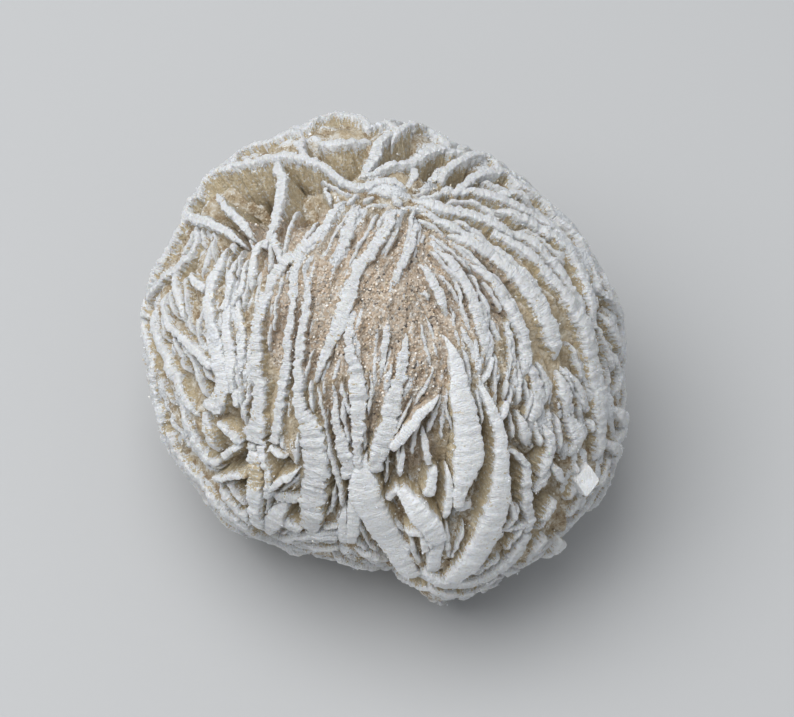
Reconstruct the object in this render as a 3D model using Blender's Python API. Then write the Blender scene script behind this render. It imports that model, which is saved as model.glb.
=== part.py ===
"""Gypsum sand rose: one intergrown rosette of lens-shaped crystals on a sandy heart.

Metres, +Z up. The stone lies on a small worn flat at z = 0, with the origin under the middle of
its box. Crest routes are drawn in millimetres on a flat sheet laid square to the show face and
through the middle of the stone: x runs to the right, y runs down the face.
"""
from math import cos, pi, radians, sin

import bmesh
import bpy
import numpy as np
from mathutils import Matrix, Vector

for item in list(bpy.data.objects):
    bpy.data.objects.remove(item)

MM = 0.001

# --- Driving dimensions (mm) ---------------------------------------------------------------
STONE_MIDDLE = (-0.19, 0.10, 18.2)  # middle of the body above the rest flat
FACE_TILT = 60.0  # degrees from level up to the show face's axis
SIGHT_DISTANCE = 450.0  # the sheet's routes are cast on the skin from this point
SHEET_MIDDLE = (38.5, 36.0)  # where the face's axis goes through the sheet
HALF_DEPTH = 20.0  # from the sheet to the front and to the back of the skin
# Radius of the stone's outline on the sheet every 15 degrees, from the right, counterclockwise
OUTLINE_RADII = (
    24.1, 24.3, 23.8, 23.2, 23.2, 23.2, 24.4, 25.6, 25.4, 26.1, 24.9, 25.2,
    24.6, 24.0, 23.3, 23.5, 21.6, 21.1, 21.2, 25.8, 25.4, 25.4, 25.7, 24.8,
)
CREST_RISE = 0.15  # flat spans between stations dip under the skin, so crests stand over it
GROOVE_DEPTH = 3.0  # crests stand this far over the core
# Where grooves are deeper (+) or filled with sand (-): sheet x, y, radius, change of depth
GROOVE_CHANGES = (
    (38.0, 30.5, 9.5, -2.0),  # sand on the heart
    (24.8, 19.4, 4.5, 2.2),  # hollow under the crown's arch
    (33.0, 15.4, 4.0, 1.8),
    (42.5, 15.0, 3.5, 1.2),
    (43.0, 50.0, 5.5, 1.2),  # pit of splinters
    (53.5, 48.5, 5.0, 1.0),
    (33.8, 49.5, 2.5, 1.2),
)
BASE_FILL = (10.0, -2.5)  # radius and change of depth where caked sand levels the underside
FOOT_DEPTH = 1.6  # blades are rooted this far inside the core
FLARE = 0.16  # a blade's side moves out by this much per millimetre of depth
END_DROP = 0.35  # share of the groove's depth that a blade's ends slope down by
END_WIDTH = 0.45  # share of its width that a blade keeps at its ends
ROUNDED_WIDTH = 1.45  # broader blades have a raised middle line as well as two shoulders
ROUNDED_RISE = 0.3  # height of that line over the shoulders, as a share of the half width
LEAST_WIDTH = 0.6  # splinters thinner than this are left out
STATION_PITCH = 4.2  # between a blade's cross-sections
CORE_SUBDIVISIONS = 3  # of the icosphere that the core is made from
REST_FLAT_LEVEL = 0.0
CUTTER_SIZE = 80.0
SEARCH_STEPS = 40  # halvings when a ray is met with the skin

# --- Crests of the show face ---------------------------------------------------------------
# Each blade: level of its crest over the skin, then its route as (x, y, crest width).
CROWN = (
    (0.3, (19.6, 19.6, 0.7), (21.5, 17.2, 0.9), (26.0, 15.9, 0.9), (29.8, 15.6, 0.9), (34.5, 18.0, 0.7)),
    (0.0, (15.2, 28.0, 0.8), (16.4, 25.2, 0.9), (17.8, 22.6, 0.9), (19.4, 19.8, 0.8)),
    (0.0, (22.6, 16.2, 0.8), (24.5, 14.5, 1.0), (27.0, 13.8, 1.0), (30.3, 12.5, 0.9)),
    (0.0, (27.7, 16.6, 0.7), (28.0, 19.2, 1.1), (27.5, 21.6, 0.8)),
    (-0.3, (21.5, 19.2, 0.6), (23.2, 21.2, 0.8), (25.0, 23.6, 0.7)),
    (0.0, (18.5, 21.4, 0.7), (21.5, 22.2, 0.9), (24.1, 24.0, 0.7)),
    (0.0, (20.2, 24.9, 0.7), (17.6, 26.4, 1.0), (15.0, 28.7, 0.8)),
    (0.1, (30.0, 12.7, 0.7), (32.0, 11.7, 0.9), (34.0, 11.3, 1.0), (36.5, 12.3, 0.9), (40.5, 12.7, 0.8)),
    (0.0, (40.5, 12.8, 0.7), (38.6, 14.1, 0.9), (36.8, 15.8, 0.9), (36.2, 17.6, 0.7)),
    (0.0, (36.5, 17.7, 0.7), (38.8, 16.4, 0.9), (41.2, 15.7, 0.9), (43.5, 14.4, 0.7)),
    (0.0, (42.2, 17.7, 0.7), (44.5, 16.4, 0.9), (47.2, 15.2, 0.9), (48.6, 15.2, 0.7)),
    (0.0, (46.7, 17.9, 0.7), (49.0, 17.0, 0.9), (51.7, 17.6, 0.8)),
    (0.0, (50.7, 19.0, 0.7), (52.2, 19.2, 0.9), (53.8, 20.4, 0.8)),
    (-0.4, (34.8, 13.4, 0.5), (34.9, 14.8, 0.7), (35.0, 16.4, 0.6)),
    (0.0, (40.5, 12.8, 0.7), (43.2, 12.9, 0.9), (45.2, 14.6, 1.0), (48.7, 15.3, 0.9)),
    (0.0, (49.7, 16.3, 0.8), (52.0, 18.0, 1.0), (54.5, 19.8, 1.0), (56.0, 21.2, 0.9)),
    (0.0, (56.0, 21.3, 0.8), (58.5, 24.0, 1.1), (59.8, 26.5, 1.2), (60.3, 29.0, 1.0)),
    (0.2, (33.8, 18.0, 0.7), (36.0, 18.7, 0.9), (38.5, 18.0, 0.9), (41.0, 18.8, 0.7)),
    (-0.4, (30.1, 12.9, 0.5), (29.9, 14.3, 0.6), (30.6, 15.8, 0.5)),
)
RIGHT_FAN = (
    (0.1, (41.5, 19.6, 0.9), (45.0, 20.8, 1.1), (49.0, 22.0, 1.0), (51.5, 23.4, 0.7)),
    (0.0, (45.5, 18.8, 0.7), (49.5, 19.4, 0.9), (53.0, 20.9, 0.9), (56.5, 23.4, 0.9), (58.8, 26.8, 0.7)),
    (0.0, (49.9, 20.5, 0.8), (54.0, 22.4, 1.2), (57.5, 25.2, 1.3), (59.2, 29.2, 1.2), (59.9, 32.8, 0.8)),
    (-0.2, (50.7, 22.4, 0.7), (54.6, 24.8, 1.0), (57.2, 28.0, 1.0), (59.2, 31.2, 0.8)),
    (0.1, (49.5, 23.0, 0.8), (53.4, 25.6, 1.0), (57.0, 29.6, 1.4), (59.2, 33.5, 1.9), (60.0, 38.0, 2.2),
     (60.4, 42.5, 1.6), (60.1, 46.5, 1.0)),
    (0.1, (45.0, 23.0, 0.8), (49.5, 25.5, 1.1), (53.0, 28.6, 1.6), (55.0, 32.0, 1.9), (56.2, 36.0, 1.3)),
    (-0.2, (43.5, 21.6, 0.6), (47.5, 23.4, 0.7), (51.0, 25.6, 0.7), (54.5, 29.0, 0.6)),
    (0.0, (47.5, 26.1, 0.7), (50.0, 28.8, 0.9), (52.2, 32.4, 1.0), (52.9, 35.6, 1.0), (52.6, 38.0, 0.7)),
    (-0.1, (53.1, 35.7, 0.6), (54.1, 38.6, 1.1), (54.1, 40.8, 1.1), (53.4, 42.3, 0.6)),
    (-0.5, (51.2, 32.0, 0.4), (51.6, 35.5, 0.6), (51.7, 39.5, 0.5)),
    (0.0, (56.4, 37.0, 0.8), (56.7, 39.2, 1.1), (57.4, 41.5, 1.0)),
    (-0.2, (57.0, 36.8, 0.4), (58.2, 38.6, 0.6), (59.3, 41.2, 0.6)),
    (0.0, (44.1, 24.7, 0.7), (46.3, 27.4, 0.9), (47.6, 30.2, 1.1), (48.6, 33.5, 1.0), (48.6, 36.6, 0.6)),
    (-0.2, (46.3, 32.2, 0.4), (47.2, 34.6, 0.6), (48.2, 37.0, 0.5)),
    (0.0, (42.0, 26.0, 0.6), (43.8, 28.6, 0.9), (45.0, 31.6, 0.7)),
)
HEART = (
    (0.1, (34.7, 19.5, 0.7), (31.8, 23.4, 1.0), (28.0, 26.4, 1.1), (26.4, 30.0, 1.0), (25.6, 34.5, 1.2),
     (25.5, 39.5, 1.1), (25.2, 44.2, 1.5)),
    (0.0, (31.6, 23.8, 0.6), (29.6, 26.2, 0.9), (29.0, 31.5, 0.6), (28.4, 37.0, 0.8), (26.9, 43.4, 0.8)),
    (0.0, (31.1, 26.0, 0.6), (30.7, 30.0, 0.8), (29.9, 34.5, 0.8), (29.8, 38.5, 0.9), (30.2, 41.4, 0.9)),
    (0.2, (31.0, 40.2, 1.2), (31.7, 42.8, 2.8), (31.3, 47.0, 2.6), (31.1, 50.5, 2.2), (30.9, 53.0, 1.3)),
    (0.0, (36.0, 20.0, 0.7), (34.9, 22.8, 1.0), (34.1, 25.7, 0.9)),
    (0.2, (39.7, 20.5, 0.8), (38.0, 23.8, 1.2), (35.6, 27.4, 1.3), (34.4, 31.0, 1.7), (32.6, 35.0, 1.1),
     (31.4, 38.3, 0.5)),
    (0.1, (35.2, 31.0, 0.9), (34.9, 34.0, 0.9), (35.7, 37.6, 1.6), (35.9, 41.4, 1.6), (35.6, 44.6, 0.9),
     (36.2, 47.6, 0.8)),
    (-0.3, (40.2, 21.9, 0.4), (38.5, 25.4, 0.5)),
    (0.0, (41.9, 21.7, 0.6), (40.9, 25.2, 0.8), (39.0, 28.7, 0.7)),
    (-0.1, (38.7, 31.8, 0.6), (38.6, 34.6, 0.7), (38.0, 38.0, 0.5)),
    (0.1, (40.7, 33.2, 0.7), (40.3, 36.6, 1.1), (39.4, 40.2, 1.6), (38.5, 43.8, 1.9), (37.3, 47.4, 1.1)),
    (-0.1, (33.5, 39.5, 0.6), (33.6, 42.6, 0.8), (34.4, 45.6, 1.5), (35.1, 48.2, 1.7)),
)
LENSES = (
    (0.2, (35.9, 47.6, 2.6), (36.6, 50.2, 3.3), (38.2, 52.8, 3.0), (39.8, 55.4, 2.6), (41.4, 58.0, 1.8)),
    (-0.2, (35.5, 50.0, 1.2), (35.2, 53.0, 1.2), (35.0, 54.8, 0.9)),
    (-0.4, (34.4, 51.2, 0.5), (34.2, 53.5, 0.9), (34.4, 55.2, 1.0)),
    (0.7, (44.0, 39.5, 0.4), (41.9, 41.7, 0.9), (39.2, 44.9, 0.8)),
    (0.4, (44.6, 33.5, 0.5), (45.6, 36.2, 1.2), (46.2, 39.4, 2.1), (46.7, 42.6, 2.6), (46.9, 45.8, 3.0),
     (46.3, 48.6, 1.5), (45.9, 50.8, 0.9)),
    (0.2, (48.3, 38.4, 0.5), (49.8, 42.0, 1.0), (50.4, 46.0, 1.4), (49.9, 50.6, 2.4), (48.3, 54.8, 2.7),
     (45.4, 58.5, 2.0)),
    (0.0, (40.2, 49.3, 0.9), (41.8, 51.4, 2.0), (43.3, 53.2, 2.1), (44.2, 54.6, 1.4)),
    (-0.4, (43.7, 47.0, 0.6), (43.3, 48.6, 0.9), (42.7, 50.0, 1.1)),
    (-0.6, (40.6, 44.8, 0.4), (40.3, 46.6, 0.5), (40.1, 48.4, 0.4)),
    (-0.5, (42.5, 42.8, 0.4), (42.8, 44.8, 0.6), (43.2, 46.8, 0.5)),
    (-0.3, (44.9, 46.8, 0.4), (45.2, 49.4, 0.6), (44.7, 52.6, 0.7)),
    (-0.5, (39.9, 49.2, 0.4), (38.8, 50.6, 0.6)),
    (-0.6, (44.0, 54.4, 1.2), (43.8, 56.4, 1.4), (43.3, 58.2, 1.1)),
    (-0.5, (45.6, 51.4, 1.4), (47.8, 50.6, 1.2)),
)
LEFT_FLANK = (
    (0.1, (20.9, 26.6, 0.8), (20.8, 29.8, 1.0), (21.0, 32.6, 1.1), (21.8, 35.0, 1.4)),
    (0.1, (22.2, 31.8, 1.6), (23.0, 34.8, 3.2), (22.8, 37.6, 3.3), (21.6, 40.8, 1.4)),
    (-0.3, (22.4, 24.4, 0.4), (22.3, 27.0, 0.5)),
    (-0.2, (23.3, 25.5, 0.4), (22.9, 28.0, 0.6), (22.4, 30.4, 0.5)),
    (-0.3, (24.3, 25.6, 0.4), (24.0, 27.8, 0.6), (23.3, 29.6, 0.4)),
    (-0.2, (26.3, 23.2, 0.4), (25.5, 26.2, 0.6), (24.9, 29.2, 0.5)),
    (-0.1, (17.7, 26.8, 0.5), (17.2, 29.2, 0.7), (18.0, 31.2, 0.5)),
    (-0.2, (18.7, 26.8, 0.4), (19.5, 28.6, 0.6), (19.7, 30.4, 0.4)),
    (-0.1, (15.8, 29.6, 0.5), (16.3, 31.8, 0.6), (17.6, 34.2, 0.5)),
    (0.3, (17.5, 33.0, 0.6), (19.5, 34.7, 1.1), (21.1, 36.8, 0.6)),
    (0.1, (16.2, 35.0, 0.8), (17.4, 37.6, 1.2), (18.6, 40.2, 0.9), (19.5, 42.2, 0.6)),
    (0.0, (14.1, 30.2, 0.8), (14.5, 32.8, 0.9), (16.0, 35.2, 0.8)),
    (0.0, (14.5, 34.0, 1.0), (15.1, 37.6, 1.3), (15.7, 41.6, 1.3), (16.6, 44.6, 1.0)),
    (0.0, (16.2, 43.4, 1.2), (17.6, 45.8, 1.4), (20.0, 48.8, 1.2)),
    (0.0, (19.6, 48.2, 1.1), (21.4, 50.6, 1.3), (23.8, 52.8, 1.1)),
    (-0.3, (23.0, 39.2, 0.6), (23.2, 40.9, 0.8)),
    (0.0, (21.7, 42.1, 0.4), (22.8, 43.4, 0.7), (24.0, 44.6, 0.5)),
    (-0.1, (23.7, 44.4, 0.5), (22.8, 45.1, 0.6), (21.8, 46.2, 0.5)),
    (-0.1, (21.2, 47.8, 0.5), (24.2, 47.7, 0.6)),
    (0.0, (21.9, 49.2, 0.7), (23.4, 50.4, 0.9), (24.8, 51.6, 0.8)),
    (0.0, (25.0, 49.8, 1.2), (25.8, 51.2, 2.0), (27.2, 52.2, 1.5)),
    (-0.1, (26.0, 44.6, 0.9), (26.5, 47.0, 0.8), (26.5, 49.6, 0.8)),
    (0.1, (29.9, 46.9, 0.4), (28.2, 48.2, 0.7), (26.6, 49.0, 0.5)),
    (-0.4, (27.0, 45.2, 0.5), (28.7, 45.9, 0.5)),
    (-0.3, (27.2, 50.3, 0.8), (30.0, 50.2, 0.7)),
    (-0.1, (18.5, 40.5, 0.5), (20.0, 43.2, 0.8), (21.4, 45.6, 0.7)),
    (-0.1, (17.0, 39.0, 0.6), (17.9, 42.2, 0.8), (19.4, 45.2, 0.8), (21.2, 47.2, 0.6)),
)
SKIRT = (
    (0.0, (43.0, 59.2, 0.8), (45.5, 59.8, 0.9), (48.0, 59.4, 0.9), (50.0, 58.2, 0.8)),
    (0.0, (42.5, 57.8, 0.9), (45.0, 58.7, 1.2), (48.0, 58.4, 1.3), (50.4, 57.0, 1.3), (52.0, 55.6, 0.9)),
    (0.0, (27.8, 54.2, 0.6), (30.5, 54.0, 0.6), (33.6, 54.1, 0.6)),
    (0.0, (30.2, 55.0, 0.5), (33.7, 55.3, 0.6)),
    (0.0, (35.2, 55.5, 0.7), (37.2, 56.0, 0.9), (38.8, 56.5, 0.8)),
    (0.0, (33.0, 55.8, 0.7), (35.5, 56.8, 0.8), (38.5, 57.6, 0.8)),
    (0.2, (28.3, 52.3, 1.2), (30.0, 53.3, 1.3)),
    (0.0, (39.5, 57.6, 0.8), (41.0, 58.5, 0.8), (43.0, 59.4, 0.7)),
    (0.0, (53.2, 53.8, 1.2), (51.6, 56.0, 1.5), (50.2, 57.7, 1.1)),
    (0.0, (23.2, 52.2, 1.0), (25.0, 53.5, 1.2), (27.2, 54.6, 1.0)),
)
RIGHT_SIDE = (
    (-0.1, (54.7, 42.4, 0.6), (55.3, 44.0, 1.0), (54.6, 48.0, 0.6)),
    (0.0, (57.2, 41.4, 0.8), (58.0, 43.6, 2.0), (57.6, 46.0, 1.3)),
    (-0.2, (53.7, 49.5, 0.5), (54.7, 48.3, 0.9), (55.4, 47.2, 0.5)),
    (-0.2, (51.1, 45.2, 0.4), (52.3, 45.9, 0.6), (53.4, 47.1, 0.6)),
    (0.0, (53.0, 46.8, 0.6), (52.9, 49.6, 1.0), (53.3, 52.0, 1.1), (52.9, 53.6, 0.8)),
    (0.1, (55.8, 50.2, 0.8), (54.5, 52.4, 0.9)),
    (-0.3, (50.5, 53.4, 0.5), (53.6, 52.6, 0.6)),
    (0.1, (54.9, 53.9, 0.7), (53.4, 55.5, 0.9)),
    (0.8, (56.3, 53.6, 1.0), (56.5, 55.3, 1.6), (55.0, 56.6, 1.2)),
    (-0.4, (58.8, 49.8, 0.9), (57.4, 52.2, 1.1)),
    (-0.3, (52.2, 41.2, 0.6), (52.8, 43.2, 1.4), (53.4, 45.0, 1.5)),
    (0.0, (60.5, 29.0, 0.8), (62.0, 30.6, 1.0), (62.5, 32.6, 0.9)),
    (0.0, (60.6, 31.0, 0.7), (61.6, 33.0, 1.0), (62.5, 35.6, 0.9)),
    (0.0, (61.4, 34.8, 0.8), (62.3, 37.4, 1.1), (62.2, 39.8, 1.0)),
    (0.4, (61.4, 41.0, 0.9), (62.4, 42.4, 1.2), (61.8, 44.0, 0.9)),
    (0.2, (61.0, 44.6, 0.7), (62.2, 45.6, 0.8)),
    (0.0, (61.3, 46.0, 0.9), (60.7, 47.8, 1.0), (59.8, 49.4, 0.8)),
)
# The angular crystal that stands out of the right side
BLOCK_PLACE = (58.4, 47.9)  # on the sheet
BLOCK_SIDES = (2.0, 2.0, 7.0)
BLOCK_TURN = 38.0  # degrees round its own long axis
BLOCK_SUNK = 2.6  # its middle lies this far under the skin

# --- Crests of the hidden side -------------------------------------------------------------
# Meridians through the two poles of the rosette, each split in a few lens-shaped blades.
UPPER_POLE = (39.0, 19.0)
LOWER_POLE = (44.0, 59.0)
BACK_MERIDIANS = 25
BACK_BLADE_LENGTH = 15.0
BACK_OVERLAP = 1.2  # blades of one meridian pass each other by this much at each end
BACK_SWAY = 1.0  # a blade's ends may stray from its meridian by this much
BACK_WIDTH = 1.5
BACK_STATIONS = 5  # places that a hidden blade's crest is drawn through
BACK_PHASES = (0.3, 0.7)  # where a meridian may lie in its share of the turn
BACK_CUT_SHIFT = 0.2  # how far a cut between two blades may stray, as a share of their length
BACK_WIDTH_SHARES = (0.6, 1.3)
BACK_LEVELS = (-0.5, 0.2)  # crests over the skin
BACK_END_ANGLE = 0.5  # radians of the half wave that a blade's width follows, left off at each end
FACE_RIM = 0.6  # the hidden side starts behind this height over the sheet
MERIDIAN_STATIONS = 60
POLE_GAP = 0.03  # share of the half turn that a meridian leaves free at each pole
SEED = 7


def ring_value(values, angle):
    """Smooth value round a ring of evenly spaced values, at an angle in radians."""
    turn = (angle / (2 * pi)) % 1.0 * len(values)
    low = np.floor(turn).astype(int) % len(values)
    ease = (1 - np.cos((turn - np.floor(turn)) * pi)) / 2
    values = np.asarray(values)
    return values[low] * (1 - ease) + values[(low + 1) % len(values)] * ease


def skin_radius(direction):
    """Radius of the skin that the crests reach, along unit directions in face axes."""
    across, up, out = direction[..., 0], direction[..., 1], direction[..., 2]
    outline = ring_value(OUTLINE_RADII, np.arctan2(up, across))
    return 1 / np.sqrt((across**2 + up**2) / outline**2 + out**2 / HALF_DEPTH**2)


def on_skin(route):
    """Casts sheet positions from the sight point on the skin, or beside it at the outline."""
    flat = np.asarray(route, float)
    sight = np.array([0.0, 0.0, SIGHT_DISTANCE])
    target = np.stack([flat[:, 0] - SHEET_MIDDLE[0], SHEET_MIDDLE[1] - flat[:, 1], 0 * flat[:, 0]], 1)
    ray = target - sight
    ray /= np.linalg.norm(ray, axis=1, keepdims=True)
    far = -(sight @ ray.T)
    near = far - 2 * HALF_DEPTH
    for _ in range(SEARCH_STEPS):
        middle = (near + far) / 2
        point = sight + middle[:, None] * ray
        length = np.linalg.norm(point, axis=1)
        outside = length > skin_radius(point / length[:, None])
        near = np.where(outside, middle, near)
        far = np.where(outside, far, middle)
    point = sight + far[:, None] * ray
    direction = point / np.linalg.norm(point, axis=1, keepdims=True)
    return direction * skin_radius(direction)[:, None]


def skin_normal(points):
    """Outward direction of the skin at points in face axes."""
    direction = points / np.linalg.norm(points, axis=1, keepdims=True)
    radius = ring_value(OUTLINE_RADII, np.arctan2(points[:, 1], points[:, 0]))
    normal = direction / np.stack([radius**2, radius**2, 0 * radius + HALF_DEPTH**2], 1)
    return normal / np.linalg.norm(normal, axis=1, keepdims=True)


def lowest_skin_point():
    """Where the skin comes nearest to the surface that the stone lies on."""
    tilt = radians(FACE_TILT)
    radius = ring_value(OUTLINE_RADII, np.array([-pi / 2]))[0]
    point = np.array([0, -cos(tilt) * radius**2, -sin(tilt) * HALF_DEPTH**2])
    direction = point / np.linalg.norm(point)
    return direction * skin_radius(direction)


def groove_depth(points):
    """Depth of the grooves between the crests, at points on the skin."""
    spots = [(on_skin([(x, y)])[0], reach, change) for x, y, reach, change in GROOVE_CHANGES]
    spots.append((lowest_skin_point(), *BASE_FILL))
    depth = np.full(len(points), GROOVE_DEPTH)
    for spot, reach, change in spots:
        distance = np.linalg.norm(points - spot, axis=1)
        depth += change * np.exp(-((distance / reach) ** 2))
    return depth


def face_to_world():
    """Turns face axes (right, up the face, out of the face) into world axes."""
    tilt = radians(FACE_TILT)
    turn = Matrix(((1, 0, 0), (0, sin(tilt), -cos(tilt)), (0, cos(tilt), sin(tilt)))).to_4x4()
    return Matrix.Translation([MM * v for v in STONE_MIDDLE]) @ turn @ Matrix.Scale(MM, 4)


def run_along(route):
    """Distance from a fine route's start to each of its points."""
    steps = np.linalg.norm(np.diff(route[:, :3], axis=0), axis=1)
    return np.concatenate([[0], np.cumsum(steps)])


def points_along(route, places):
    """Rows of a fine route at distances from its start."""
    return np.stack([np.interp(places, run_along(route), column) for column in route.T], 1)


def spread(route, pitch):
    """Even stations on a smooth curve through a route's rows, at about the pitch."""
    route = np.asarray(route, float)
    padded = np.vstack([2 * route[0] - route[1], route, 2 * route[-1] - route[-2]])
    fine = []
    for p0, p1, p2, p3 in zip(padded, padded[1:], padded[2:], padded[3:]):
        t = np.linspace(0, 1, 12, endpoint=False)[:, None]
        bend = 2 * p1 + (p2 - p0) * t + (2 * p0 - 5 * p1 + 4 * p2 - p3) * t**2
        fine.append((bend + (3 * p1 - p0 - 3 * p2 + p3) * t**3) / 2)
    fine = np.vstack([*fine, route[-1:]])
    length = run_along(fine)[-1]
    return points_along(fine, np.linspace(0, length, max(3, round(length / pitch) + 1)))


def blade_sections(crest, width, level):
    """Cross-sections of a blade: two feet in the core, two shoulders, and a line between them."""
    normal = skin_normal(crest)
    along = np.gradient(crest, axis=0)
    side = np.cross(along, normal)
    side /= np.linalg.norm(side, axis=1, keepdims=True)
    rise = level + CREST_RISE
    depth = groove_depth(crest) + FOOT_DEPTH + rise
    top = crest + rise * normal
    # each end slopes down and closes in, the way a lens runs out
    drop = np.zeros(len(crest))
    drop[[0, -1]] = END_DROP * depth[[0, -1]]
    narrow = np.ones(len(crest))
    narrow[[0, -1]] = END_WIDTH
    half = (width * narrow / 2)[:, None]
    foot_half = half + FLARE * depth[:, None] * narrow[:, None]
    shoulder = top - drop[:, None] * normal
    foot = top - depth[:, None] * normal
    sections = [foot + foot_half * side, shoulder + half * side]
    if width.max() > ROUNDED_WIDTH:
        sections.append(shoulder + ROUNDED_RISE * half * normal)
    return np.stack([*sections, shoulder - half * side, foot - foot_half * side], 1)


def loft(name, sections, collection):
    """Closed solid through cross-sections with the same number of points."""
    mesh = bmesh.new()
    rings = [[mesh.verts.new(point) for point in section] for section in sections]
    for ring, after in zip(rings, rings[1:]):
        for i in range(len(ring)):
            j = (i + 1) % len(ring)
            mesh.faces.new((ring[i], ring[j], after[j], after[i]))
    mesh.faces.new(rings[0])
    mesh.faces.new(rings[-1])
    bmesh.ops.triangulate(mesh, faces=mesh.faces)
    bmesh.ops.recalc_face_normals(mesh, faces=mesh.faces)
    return body(name, mesh, collection)


def body(name, mesh, collection):
    """Object from a bmesh in face axes, turned into world metres."""
    mesh.transform(face_to_world())
    data = bpy.data.meshes.new(name)
    mesh.to_mesh(data)
    mesh.free()
    item = bpy.data.objects.new(name, data)
    collection.objects.link(item)
    return item


def hide_helper(item):
    """Keeps a solid that only shapes another one out of the result."""
    item.hide_render = True
    item.display_type = 'WIRE'


def blade(name, level, crest, width, collection):
    item = loft(name, blade_sections(crest, width, level), collection)
    hide_helper(item)
    return item


def show_face_blades(collection):
    """Blades whose crests are drawn on the sheet."""
    regions = {
        'crown': CROWN, 'right_fan': RIGHT_FAN, 'heart': HEART, 'lens': LENSES,
        'left_flank': LEFT_FLANK, 'skirt': SKIRT, 'right_side': RIGHT_SIDE,
    }
    for region, blades in regions.items():
        for number, (level, *route) in enumerate(blades):
            route = np.asarray(route)
            if route[:, 2].max() < LEAST_WIDTH:
                continue
            rows = spread(np.column_stack([on_skin(route[:, :2]), route[:, 2]]), STATION_PITCH)
            blade(f'{region}_{number}', level, rows[:, :3], rows[:, 3], collection)


def meridian(turn):
    """Skin points from the upper pole to the lower one, on a plane turned round their chord."""
    upper, lower = on_skin([UPPER_POLE, LOWER_POLE])
    axis = (lower - upper) / np.linalg.norm(lower - upper)
    forward = np.array([0, 0, 1.0]) - axis[2] * axis
    forward /= np.linalg.norm(forward)
    aside = cos(turn) * forward + sin(turn) * np.cross(axis, forward)
    middle = (upper + lower) / 2
    sweep = np.linspace(POLE_GAP, 1 - POLE_GAP, MERIDIAN_STATIONS) * pi
    ray = np.outer(-np.cos(sweep), axis) + np.outer(np.sin(sweep), aside)
    inside = np.zeros(MERIDIAN_STATIONS)
    outside = np.full(MERIDIAN_STATIONS, 3 * HALF_DEPTH)
    for _ in range(SEARCH_STEPS):
        reach = (inside + outside) / 2
        point = middle + reach[:, None] * ray
        length = np.linalg.norm(point, axis=1)
        beyond = length > skin_radius(point / length[:, None])
        outside = np.where(beyond, reach, outside)
        inside = np.where(beyond, inside, reach)
    return middle + inside[:, None] * ray


def back_blades(collection):
    """Blades of the hidden side: each meridian is a row of lenses that pass each other a little."""
    chance = np.random.default_rng(SEED)
    stray = np.linspace(-1, 1, BACK_STATIONS)
    wave = np.sin(np.linspace(BACK_END_ANGLE, pi - BACK_END_ANGLE, BACK_STATIONS))
    for number in range(BACK_MERIDIANS):
        turn = 2 * pi * (number + chance.uniform(*BACK_PHASES)) / BACK_MERIDIANS
        hidden = meridian(turn)
        hidden = hidden[hidden[:, 2] < FACE_RIM]
        if len(hidden) < BACK_STATIONS - 1:
            continue
        length = run_along(hidden)[-1]
        pieces = max(1, round(length / BACK_BLADE_LENGTH))
        cuts = np.linspace(0, 1, pieces + 1)
        cuts[1:-1] += chance.uniform(-BACK_CUT_SHIFT, BACK_CUT_SHIFT, pieces - 1) / pieces
        for piece in range(pieces):
            start = max(0, cuts[piece] * length - BACK_OVERLAP)
            end = min(length, cuts[piece + 1] * length + BACK_OVERLAP)
            crest = points_along(hidden, np.linspace(start, end, BACK_STATIONS))
            halfway = crest[BACK_STATIONS // 2][None]
            across = np.cross(crest[-1] - crest[0], skin_normal(halfway)[0])
            across /= np.linalg.norm(across)
            crest = crest + np.outer(stray * chance.uniform(-1, 1) * BACK_SWAY, across)
            direction = crest / np.linalg.norm(crest, axis=1, keepdims=True)
            crest = direction * skin_radius(direction)[:, None]
            width = BACK_WIDTH * chance.uniform(*BACK_WIDTH_SHARES) * wave
            rows = spread(np.column_stack([crest, width]), STATION_PITCH)
            level = chance.uniform(*BACK_LEVELS)
            blade(f'back_{number}_{piece}', level, rows[:, :3], rows[:, 3], collection)


def block_crystal(collection):
    """The angular crystal, with its long axis square to the skin."""
    spot = on_skin([BLOCK_PLACE])
    outward = Vector(skin_normal(spot)[0])
    middle = Vector(spot[0]) - BLOCK_SUNK * outward
    stand = outward.rotation_difference(Vector((0, 0, 1))).inverted().to_matrix()
    turn = Matrix.Rotation(radians(BLOCK_TURN), 3, 'Z')
    mesh = bmesh.new()
    bmesh.ops.create_cube(mesh, size=1)
    bmesh.ops.scale(mesh, vec=BLOCK_SIDES, verts=mesh.verts)
    bmesh.ops.rotate(mesh, matrix=stand @ turn, verts=mesh.verts)
    bmesh.ops.translate(mesh, vec=middle, verts=mesh.verts)
    hide_helper(body('block_crystal', mesh, collection))


def core_body(collection):
    """Sandy core that the grooves bottom on."""
    mesh = bmesh.new()
    bmesh.ops.create_icosphere(mesh, subdivisions=CORE_SUBDIVISIONS, radius=1)
    points = np.array([v.co[:] for v in mesh.verts])
    points /= np.linalg.norm(points, axis=1, keepdims=True)
    skin = points * skin_radius(points)[:, None]
    core = skin - groove_depth(skin)[:, None] * skin_normal(skin)
    for vertex, place in zip(mesh.verts, core):
        vertex.co = place
    return body('gypsum_sand_rose', mesh, collection)


def gypsum_material():
    material = bpy.data.materials.new('gypsum')
    material.use_nodes = True
    shader = material.node_tree.nodes['Principled BSDF']
    shader.inputs['Base Color'].default_value = (0.74, 0.71, 0.64, 1)
    shader.inputs['Roughness'].default_value = 0.85
    shader.inputs['Metallic'].default_value = 0.0
    return material


def rest_cutter(collection):
    """Everything under the rest flat, as a box."""
    size = CUTTER_SIZE * MM
    mesh = bmesh.new()
    bmesh.ops.create_cube(mesh, size=size)
    bmesh.ops.translate(mesh, vec=(0, 0, REST_FLAT_LEVEL * MM - size / 2), verts=mesh.verts)
    data = bpy.data.meshes.new('rest_cutter')
    mesh.to_mesh(data)
    mesh.free()
    item = bpy.data.objects.new('rest_cutter', data)
    collection.objects.link(item)
    hide_helper(item)
    return item


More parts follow.
